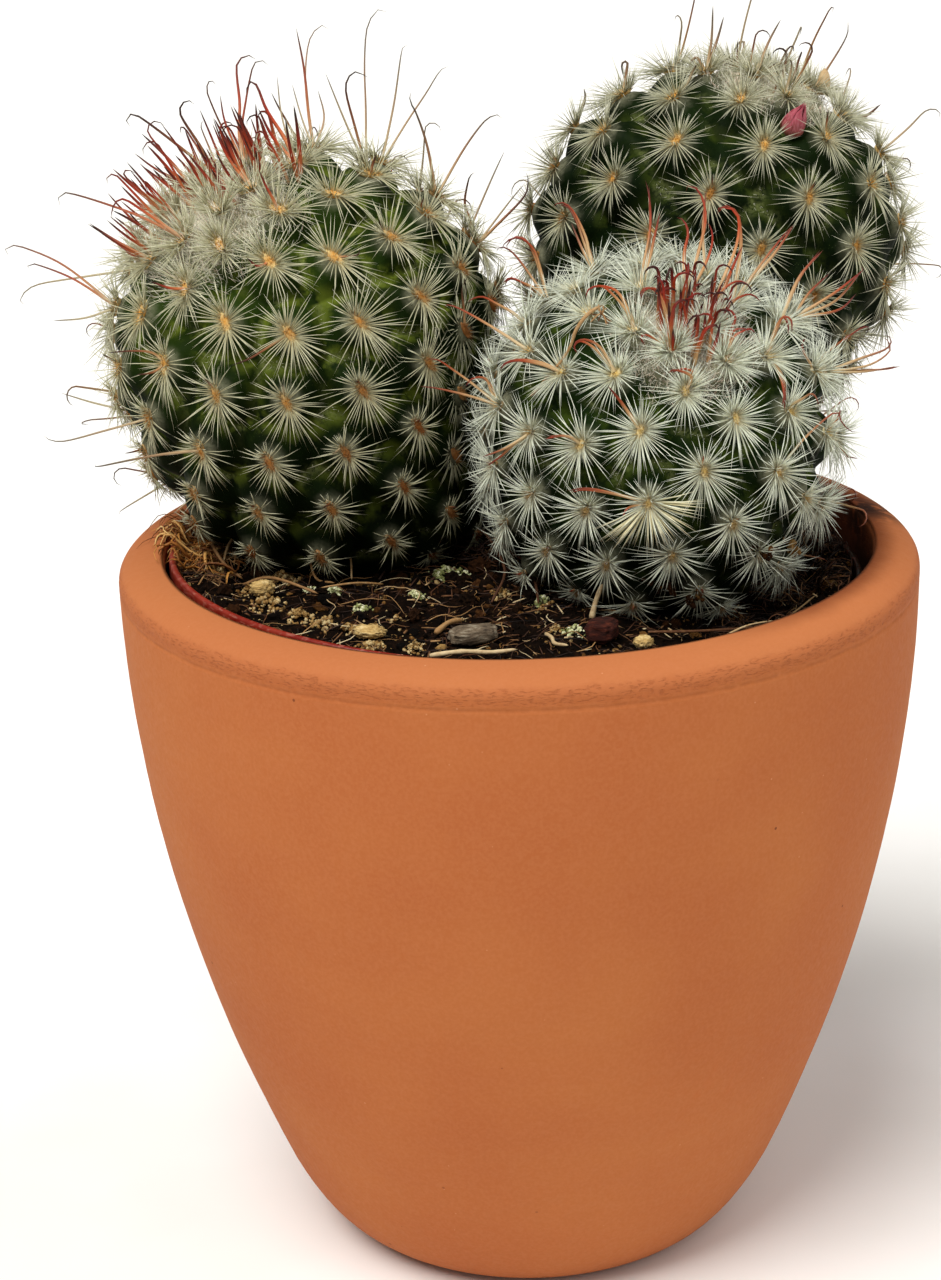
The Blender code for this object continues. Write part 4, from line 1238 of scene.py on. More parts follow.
class Head:
    """One globular head, with the part's own sizes. stars are its radial spines: how many an areole has,
    their length and thickness. shrink is how much shorter they are low down, and worn the height over the
    mix up to which they are so. lay is their slope in degrees near the apex and far from it. down is the
    number of finer hairs at each areole, and felt its half length and half width. wool is the reach in
    degrees, the number and the length of the hairs round the apex, and clumps the pixel, number and
    length of bigger stars. brush is the thick spines at the apex: their reach in degrees, their number,
    their least and greatest length, and the same for thickness. brush_lean is added to their directions,
    and brush_side is where most of them stand. redness is how red the hooked spines are away from the
    brush, and in it."""

    def __init__(self, name, seed, **sizes):
        vars(self).update(sizes)
        self.name = name
        self.rng = np.random.default_rng(seed)
        self.centre = np.array(self.centre)
        self.root = np.array(self.root)
        self.stretch = (self.centre[2] - self.root[2]) / self.radius
        self.turned = np.array(Vector(self.apex).to_track_quat("Z", "Y").to_matrix())
        self.apex = unit(self.apex)
        self.brush = (math.radians(self.brush[0]), *self.brush[1:])
        self.seams = []

    def drawn(self, z):
        """How much the ball is flattened above its middle, or drawn out below it."""
        return np.where(z < 0, self.stretch, self.crown)


LEFT = Head("cactus_head_left", seed=3, centre=(-30.8, 12.0, 137.4), radius=27.0, crown=1.0,
            root=(-26.0, 12.0, 97.0), root_share=0.95, apex=(-0.44, -0.37, 0.81), spacing=9.7, rise=3.1,
            turn=1, stars=((54, 62), 6.9, 0.078), down=60, shrink=0.42, worn=44.0, lay=(50, 18),
            felt=(2.05, 0.74), wool=(32, 6000, 2.0), clumps=(), brush=(29, 64, 6.5, 12.0, 0.22, 0.38),
            brush_lean=(-0.2, 0.0, 0.25), brush_side=(-0.2, 0.9, 0.3), redness=(0.12, 1.0))
FRONT = Head("cactus_head_front", seed=11, centre=(21.0, -9.0, 129.2), radius=22.6, crown=0.97,
             root=(19.0, -7.0, 97.0), root_share=0.96, apex=(0.14, -0.62, 0.77), spacing=8.8, rise=2.9,
             turn=-1, stars=((66, 78), 6.6, 0.072), down=84, shrink=0.2, worn=20.0, lay=(56, 20),
             felt=(1.2, 0.62), wool=(28, 5000, 1.9), clumps=(((668, 508), 54, 8.6),),
             brush=(12, 44, 4.5, 9.0, 0.26, 0.42), brush_lean=(0.0, 0.25, 0.7), brush_side=(0, 0, 0),
             redness=(0.7, 1.0))
BACK = Head("cactus_head_back", seed=7, centre=(32.7, 42.0, 145.6), radius=26.8, crown=0.93,
            root=(20.0, 24.0, 95.0), root_share=0.58, apex=(0.31, 0.0, 0.95), spacing=10.6, rise=3.2,
            turn=1, stars=((60, 68), 6.3, 0.078), down=66, shrink=0.2, worn=30.0, lay=(38, 22),
            felt=(1.5, 0.7), wool=(26, 2400, 1.6), clumps=(), brush=(12, 8, 3.5, 7.0, 0.18, 0.28),
            brush_lean=(0.0, 0.0, 0.1), brush_side=(0, 0, 0), redness=(0.05, 0.15))
HEADS = [LEFT, FRONT, BACK]

# Upright planes that keep neighbouring heads apart: the pair, the normal from the first to the second,
# and a point on the plane
for first, second, normal, place in ((LEFT, FRONT, (0.927, -0.376), (-5.5, -0.5)),
                                     (LEFT, BACK, (0.904, 0.427), (1.0, 27.0)),
                                     (FRONT, BACK, (0.224, 0.975), (25.0, 13.0))):
    across = unit((*normal, 0.0))
    level = float(across @ (*place, 0.0))
    first.seams.append((across, level))
    second.seams.append((-across, -level))


def polar(theta, phi):
    return np.array((math.sin(theta) * math.cos(phi), math.sin(theta) * math.sin(phi), math.cos(theta)))


def areole_directions(head):
    """Unit vectors to the areoles, from the apex at +Z down at the golden angle, as on the solid."""
    width = math.pi / AREA_STEPS
    theta = (np.arange(AREA_STEPS) + 0.5) * width
    spacing = head.spacing * (APEX_SPACING_SHARE + (1 - APEX_SPACING_SHARE) * smooth(theta / APEX_REACH))
    directions, finished, n = [], 0, 0
    while finished < GOLDEN_RUN:
        phi = head.turn * n * GOLDEN_ANGLE
        local = np.column_stack((np.sin(theta) * math.cos(phi), np.sin(theta) * math.sin(phi),
                                 np.cos(theta)))
        way = local @ head.turned.T
        drawn = np.hypot(head.drawn(way[:, 2]) * np.hypot(way[:, 0], way[:, 1]), way[:, 2])
        band = 2 * math.pi * head.radius ** 2 * drawn * np.sin(theta) * width
        share = band / (HEXAGON_SHARE * spacing ** 2)
        held = np.cumsum(share)
        i = int(np.searchsorted(held, n + 0.5, side="right"))
        if i < AREA_STEPS:
            before = held[i] - share[i]
            directions.append(polar((i + (n + 0.5 - before) / share[i]) * width, phi))
            finished = 0
        else:
            finished += 1
        n += 1
    return np.array(directions)


def drawn_out(head, local):
    """Directions on the unit ball, as world points on the ball with its lower half drawn down."""
    way = local @ head.turned.T
    return np.column_stack((way[:, :2], way[:, 2] * head.drawn(way[:, 2])))


def drawn_point(head, local):
    """The smooth body before its neighbours press on it: a ball whose lower half runs down to its root."""
    way = local @ head.turned.T
    down = smooth(-way[:, 2:] / ROOT_REACH)
    across = head.radius * (1 + (head.root_share - 1) * down)
    middle = head.centre + (head.root - head.centre) * down
    rise = drawn_out(head, local)[:, 2:] * head.radius
    return np.hstack((middle[:, :2] + way[:, :2] * across, head.centre[2] + rise))


def outward(head, local):
    """The smooth body's outward normals, from two short steps along its surface."""
    side = unit(square_to(local))
    ahead = np.cross(local, side)
    here = drawn_point(head, local)
    step_side = drawn_point(head, unit(local + side * SURFACE_STEP)) - here
    step_ahead = drawn_point(head, unit(local + ahead * SURFACE_STEP)) - here
    return unit(np.cross(step_side, step_ahead))


def kept_apart(head, points, seam_gap):
    """Presses points smoothly back behind the planes between this head and its neighbours."""
    points = points.copy()
    room = SEAM_MARGIN - seam_gap
    for normal, level in head.seams:
        depth = level - points @ normal
        pressed = seam_gap + room * np.exp((np.minimum(depth, SEAM_MARGIN) - SEAM_MARGIN) / room)
        push = np.where(depth < SEAM_MARGIN, pressed - depth, 0.0)
        points -= normal * push[..., None]
    return points


def rise_share(points):
    """Tubercles fade out where the body goes into the mix."""
    share = np.ones(len(points))
    for i in np.flatnonzero(points[:, 2] < POT_HEIGHT + 6):
        share[i] = ease((points[i, 2] - ground(points[i, 0], points[i, 1]) - 1.2) / 4.0)
    return share


def head_share(head, points):
    """Below 1 inside the head's smooth body and above 1 outside it, measured level."""
    rise = points[:, 2] - head.centre[2]
    way_z = rise / (head.radius * head.drawn(rise))
    down = smooth(-way_z / ROOT_REACH)
    across = head.radius * (1 + (head.root_share - 1) * down) * np.sqrt(np.maximum(1 - way_z ** 2, 1e-4))
    middle = head.centre[:2] + (head.root - head.centre)[:2] * down[:, None]
    return np.linalg.norm(points[:, :2] - middle, axis=1) / across


class Areoles:
    """The areoles of a head that show: their places, normals, ways to the apex and sideways, their angles
    from the apex, and how far each faces the camera. pad is the size of the felt pad on each."""

    def __init__(self, head):
        self.all = areole_directions(head)
        base = kept_apart(head, drawn_point(head, self.all), SEAM_GAP)
        normal = outward(head, self.all)
        height = (head.rise * rise_share(base))[:, None]
        top = kept_apart(head, drawn_point(head, self.all) + normal * height, SEAM_GAP)
        over = np.array([z - ground(x, y) for x, y, z in top])
        keep = over > LEAST_HEIGHT
        self.top = top[keep]
        self.normal = normal[keep]
        toward = head.apex - self.normal * dot(self.normal, head.apex)
        helper = np.cross(self.normal, (0.3, 0.9, 0.1))
        self.up = unit(np.where(np.linalg.norm(toward, axis=1, keepdims=True) > 0.08, toward, helper))
        self.side = np.cross(self.normal, self.up)
        self.theta = np.arccos(np.clip(self.all[keep][:, 2], -1, 1))
        self.youth = 1 - smooth(self.theta / YOUTH_REACH)
        self.pad = 0.75 + 0.35 * self.youth
        self.worn = 1 - smooth(over[keep] / head.worn)
        self.facing = dot(self.normal, unit(CAMERA_PLACE - self.top))[:, 0]


def nearest_two(head, local, areoles):
    """For points of the head's ball: their places, the two nearest areoles and the distances to them."""
    flat = drawn_out(head, local) * head.radius
    spots = drawn_out(head, areoles.all) * head.radius
    squares = np.sum(flat ** 2, axis=1)[:, None] + np.sum(spots ** 2, axis=1) - 2 * flat @ spots.T
    away = np.sqrt(np.maximum(squares, 0))
    order = np.argpartition(away, 2, axis=1)[:, :3]
    rank = np.argsort(np.take_along_axis(away, order, axis=1), axis=1)
    order = np.take_along_axis(order, rank, axis=1)
    near = np.take_along_axis(away, order, axis=1)
    return flat, spots[order[:, 0]], spots[order[:, 1]], near[:, 0], near[:, 1]


def body(head, areoles, look):
    """The head's skin with its tubercles; returns its points, how scurfy they are and its normals."""
    local, tris = ball(7 if head is LEFT else 6)
    flat, nearest, second, near, next_near = nearest_two(head, local, areoles)
    valley = 2 * near / (near + next_near)
    dome = np.clip(1 - valley ** 1.8, 0, 1) ** 1.1
    base = drawn_point(head, local)
    normal = outward(head, local)
    share = rise_share(kept_apart(head, base, SEAM_GAP))
    ripple = np.array([noise.noise(Vector(p) / 2.6) * 0.16 + noise.noise(Vector(p) / 0.9) * 0.05
                       for p in base])
    height = head.rise * dome * share + ripple * (0.3 + 0.7 * share)
    points = kept_apart(head, base + normal * height[:, None], SEAM_GAP)
    theta = np.arccos(np.clip(local[:, 2], -1, 1))
    toward = unit(head.apex - unit(flat) * dot(unit(flat), head.apex))
    lean = np.abs(dot(unit(second - nearest), toward)[:, 0])
    # below marks the lower side of each tubercle, where the skin gets painted shade.
    below = smooth(-dot(flat - nearest, toward)[:, 0] / (0.5 * head.spacing)) * smooth(valley / 0.5)
    patch = np.array([noise.noise(Vector(p) / 3.2 + Vector((7, 0, 0))) for p in base])
    upright = smooth((lean - 0.35) / 0.3)
    scurf = smooth((valley - 0.84) / 0.12) * upright * smooth((patch - 0.02) / 0.2)
    line = smooth((valley - 0.62) / 0.3) * upright
    # deep: painted shade low on the head, fading out upward.
    deep = 1 - smooth((points[:, 2] - POT_HEIGHT) / head.worn)
    halo = (1 - smooth((near - 0.7) / 1.9)) * (1 - 0.5 * deep) * share
    # crown: the paler skin at the crown, partly painted light.
    crown = 1 - smooth((theta - math.radians(6)) / math.radians(20))
    soup = Soup()
    soup.add(points, tris=tris, scurf=scurf, youth=1 - smooth(theta / YOUTH_REACH), crown=crown,
             below=below, line=line, deep=deep, halo=halo)
    show(head.name + "_skin", soup, look, head.name)
    return points, scurf, normal


def felt(head, areoles, look):
    """A pad of felt on each tubercle, longest toward the apex, with its nap."""
    rng = head.rng
    shape, tris = ball(2)
    count = len(areoles.top)
    size = areoles.pad * rng.uniform(0.9, 1.1, count)
    along, wide = head.felt[0] * size, head.felt[1] * size
    axes = (areoles.up * along[:, None], areoles.side * wide[:, None], areoles.normal * 0.5)
    frames = np.stack(axes, axis=2)
    shapes = np.broadcast_to(shape, (count, *shape.shape)) * rng.uniform(0.88, 1.1, (count, len(shape), 1))
    soup = Soup()
    old = np.clip(1 - areoles.youth * 1.5 + rng.normal(0, 0.1, count), 0, 1)
    points = np.einsum("nij,nkj->nki", frames, shapes) + areoles.top[:, None]
    soup.add(points, tris=repeated(tris, count, len(shape)), along=np.tile(np.abs(shape[:, 0]), count),
             shade=np.repeat(old, len(shape)))
    hairs = 56
    i = np.repeat(np.arange(count), hairs)
    spin = rng.uniform(0, 2 * math.pi, len(i))
    out = np.sqrt(rng.uniform(0, 1, len(i)))
    x, y = out * np.cos(spin), out * np.sin(spin)
    top, up, side, normal = areoles.top[i], areoles.up[i], areoles.side[i], areoles.normal[i]
    root = top + up * (x * along[i])[:, None] + side * (y * wide[i])[:, None]
    root = root + normal * (0.55 * np.sqrt(np.maximum(0, 1 - out ** 2)))[:, None]
    way = unit(normal + up * (0.9 * x)[:, None] + side * (0.9 * y)[:, None]
               + rng.normal(0, 0.3, (len(i), 3)))
    long = rng.uniform(0.35, 1.0, len(i))[:, None]
    paths = np.stack((root - way * 0.15, root + way * long), axis=1)
    soup.add_tubes(paths, rng.uniform(0.045, 0.075, (len(i), 1)) * HAIR_TAPER, shade=old[i])
    show(head.name + "_felt", soup, look, head.name)


def star_paths(head, areoles, index, angle, slope, long, curve):
    """Paths of radial spines: from the pad's edge outward, sloping up from the skin, then curving back."""
    rng = head.rng
    up, side, normal = areoles.up[index], areoles.side[index], areoles.normal[index]
    cos, sin = np.cos(angle)[:, None], np.sin(angle)[:, None]
    size = areoles.pad[index][:, None]
    share = rng.uniform(0.55, 0.95, (len(index), 1))
    long_way, wide_way = up * cos * head.felt[0], side * sin * head.felt[1]
    root = areoles.top[index] + long_way * share * size + wide_way * share * size
    root = root + normal * (0.45 - 0.35 * share)
    out = unit(up * cos * STAR_STRETCH + side * sin)
    aim = out * np.cos(slope)[:, None] + normal * np.sin(slope)[:, None]
    bow = rng.normal(0, 0.05, (len(index), 1)) * np.cross(aim, normal)
    t = np.array((0.0, 0.55, 1.0))[None, :, None]
    long = long[:, None, None]
    bend = bow - normal * curve[:, None]
    return root[:, None] + long * t * aim[:, None] + long * t ** 2 * bend[:, None]


def radials(head, areoles, look):
    """The white stars: thin spines all round each areole, in two layers."""
    rng = head.rng
    numbers, length, thickness = head.stars
    count = rng.integers(numbers[0], numbers[1] + 1, len(areoles.top))
    count = count * (1 - 0.42 * areoles.worn) * (1.35 - 0.35 * smooth(areoles.theta / math.radians(60)))
    count = np.round(count).astype(int)
    index = np.repeat(np.arange(len(count)), count)
    total = len(index)
    order = np.concatenate([np.arange(c) for c in count])
    step = 2 * math.pi / count[index]
    angle = (order + rng.normal(0, 0.25, total)) * step + rng.uniform(0, 2 * math.pi, len(count))[index]
    worn = areoles.worn[index]
    angle = angle + (0.25 + 0.4 * worn) * np.sin(angle)
    steep, shallow = np.radians(head.lay)
    fade = smooth(areoles.theta / math.radians(45))[index]
    slope = blend(steep, shallow, fade) + np.radians(14) * np.cos(angle) - np.radians(8) * worn
    layer = np.where(order % 3 == 0, np.radians(23), -np.radians(5))
    slope = slope + layer + rng.normal(0, np.radians(9), total)
    long = length * (1 - head.shrink * worn) * rng.normal(1, 0.13, total)
    long = long * (1 - (0.25 + 0.3 * worn) * np.maximum(0, np.cos(angle)))
    long = long * blend(0.9, 1.0, fade) * np.where(rng.uniform(0, 1, total) < 0.08, 0.55, 1.0)
    paths = star_paths(head, areoles, index, angle, slope, long, 0.08 + 0.06 * worn)
    width = thickness * rng.uniform(0.75, 1.2, total)
    # Spines low on the head are greyer: older, and in painted shade near the mix.
    old = np.clip(0.55 * worn + rng.normal(0, 0.15, total), 0, 1)
    soup = Soup()
    paths = above_ground(kept_apart(head, paths.reshape(-1, 3), SPINE_GAP).reshape(paths.shape), SPINE_LIFT)
    soup.add_tubes(paths, width[:, None] * (1.15, 0.9, 0.0), shade=old, cream=np.zeros(total))
    for pixel, number, length in head.clumps:
        clump(head, areoles, soup, pixel, number, length)
    show(head.name + "_radial_spines", soup, look, head.name)


def star_hairs(head, areoles, look):
    """Finer hairs that whiten the middle of each star, more and longer near the apex."""
    rng = head.rng
    young = 1 - smooth(areoles.theta / math.radians(50))
    each = np.round(head.down * (1 - 0.3 * areoles.worn) * (1 + 1.8 * young)).astype(int)
    index = np.repeat(np.arange(len(areoles.top)), each)
    total = len(index)
    angle = rng.uniform(0, 2 * math.pi, total)
    share = rng.uniform(0.45, 0.95, (total, 1))
    up, side, normal = areoles.up[index], areoles.side[index], areoles.normal[index]
    cos, sin = np.cos(angle)[:, None], np.sin(angle)[:, None]
    pad = up * cos * head.felt[0] + side * sin * head.felt[1]
    root = areoles.top[index] + share * pad + normal * 0.15
    slope = np.radians(rng.uniform(18, 65, (total, 1)))
    aim = unit(up * cos * STAR_STRETCH + side * sin) * np.cos(slope) + normal * np.sin(slope)
    grown = 1 - 0.35 * areoles.worn[index] + 0.45 * young[index]
    long = rng.uniform(1.4, 4.0, (total, 1)) * grown[:, None]
    ends = kept_apart(head, np.concatenate((root, root + long * aim)), SPINE_GAP)
    soup = Soup()
    soup.add_tubes(ends.reshape(2, -1, 3).swapaxes(0, 1), rng.uniform(0.04, 0.065, (total, 1)) * HAIR_TAPER,
                   shade=np.zeros(total), cream=np.where(rng.uniform(0, 1, total) < 0.2, 0.5, 0.0))
    show(head.name + "_star_hairs", soup, look, head.name)


def nearest_areole(areoles, pixel, least=-0.3):
    """The areole that the photograph's camera sees nearest to a pixel, of those that face it enough."""
    seen, _ = projected(areoles.top)
    away = np.linalg.norm(seen - np.array(pixel), axis=1)
    return int(np.argmin(np.where(areoles.facing > least, away, np.inf)))


# The wisps of a clump: the angle of each, its spread, and its share of the clump's length
WISPS = np.array(((-1.35, 0.1, 1.0), (-1.75, 0.15, 0.9), (-2.4, 0.3, 0.8), (3.1, 0.3, 0.78),
                  (2.55, 0.12, 0.95), (2.3, 0.1, 1.0)))


def clump(head, areoles, soup, pixel, number, length):
    """A bigger, yellowed star that fans downward, with some of its spines in wisps to both sides."""
    rng = head.rng
    index = np.full(number, nearest_areole(areoles, pixel, 0.3))
    middle, spread, share = WISPS[rng.integers(0, len(WISPS), number)].T
    angle = middle + rng.normal(0, 1, number) * spread
    slope = np.radians(rng.normal(26, 8, number))
    long = length * share * rng.uniform(0.8, 1.05, number)
    paths = star_paths(head, areoles, index, angle, slope, long, np.full(number, 0.1))
    radii = 0.12 * rng.uniform(0.8, 1.25, (number, 1)) * (1.2, 0.95, 0.0)
    soup.add_tubes(above_ground(paths, SPINE_LIFT), radii, shade=np.zeros(number),
                   cream=rng.uniform(0.5, 1.0, number))


def wool(head, look, skin):
    """Fine hairs round the apex, between its youngest areoles."""
    rng = head.rng
    reach, count, long = head.wool
    points, _, normals = skin
    theta = np.arccos(np.clip(normals @ head.apex, -1, 1))
    chance = np.maximum(0, 1 - theta / math.radians(reach)) ** 0.8
    picked = rng.choice(len(points), count, p=chance / chance.sum())
    root = points[picked] + rng.normal(0, 0.25, (count, 3))
    way = unit(normals[picked] + rng.normal(0, 0.4, (count, 3)))
    paths = np.stack((root, root + long * rng.uniform(0.5, 1.2, (count, 1)) * way), axis=1)
    soup = Soup()
    soup.add_tubes(paths, rng.uniform(0.04, 0.07, (count, 1)) * HAIR_TAPER, shade=rng.uniform(0, 1, count))
    scurfy_hairs(rng, skin, soup)
    show(head.name + "_wool", soup, look, head.name)


def scurfy_hairs(rng, skin, soup):
    """Short hairs where the valleys are scurfy."""
    points, scurf, normals = skin
    count = 900
    picked = rng.choice(np.flatnonzero(scurf > 0.45), count)
    root = points[picked] + rng.normal(0, 0.15, (count, 3))
    way = unit(normals[picked] * 0.7 + rng.normal(0, 0.7, (count, 3)))
    paths = np.stack((root, root + rng.uniform(0.3, 0.8, (count, 1)) * way), axis=1)
    soup.add_tubes(paths, 0.035 * HAIR_TAPER, shade=rng.uniform(0, 0.6, count))


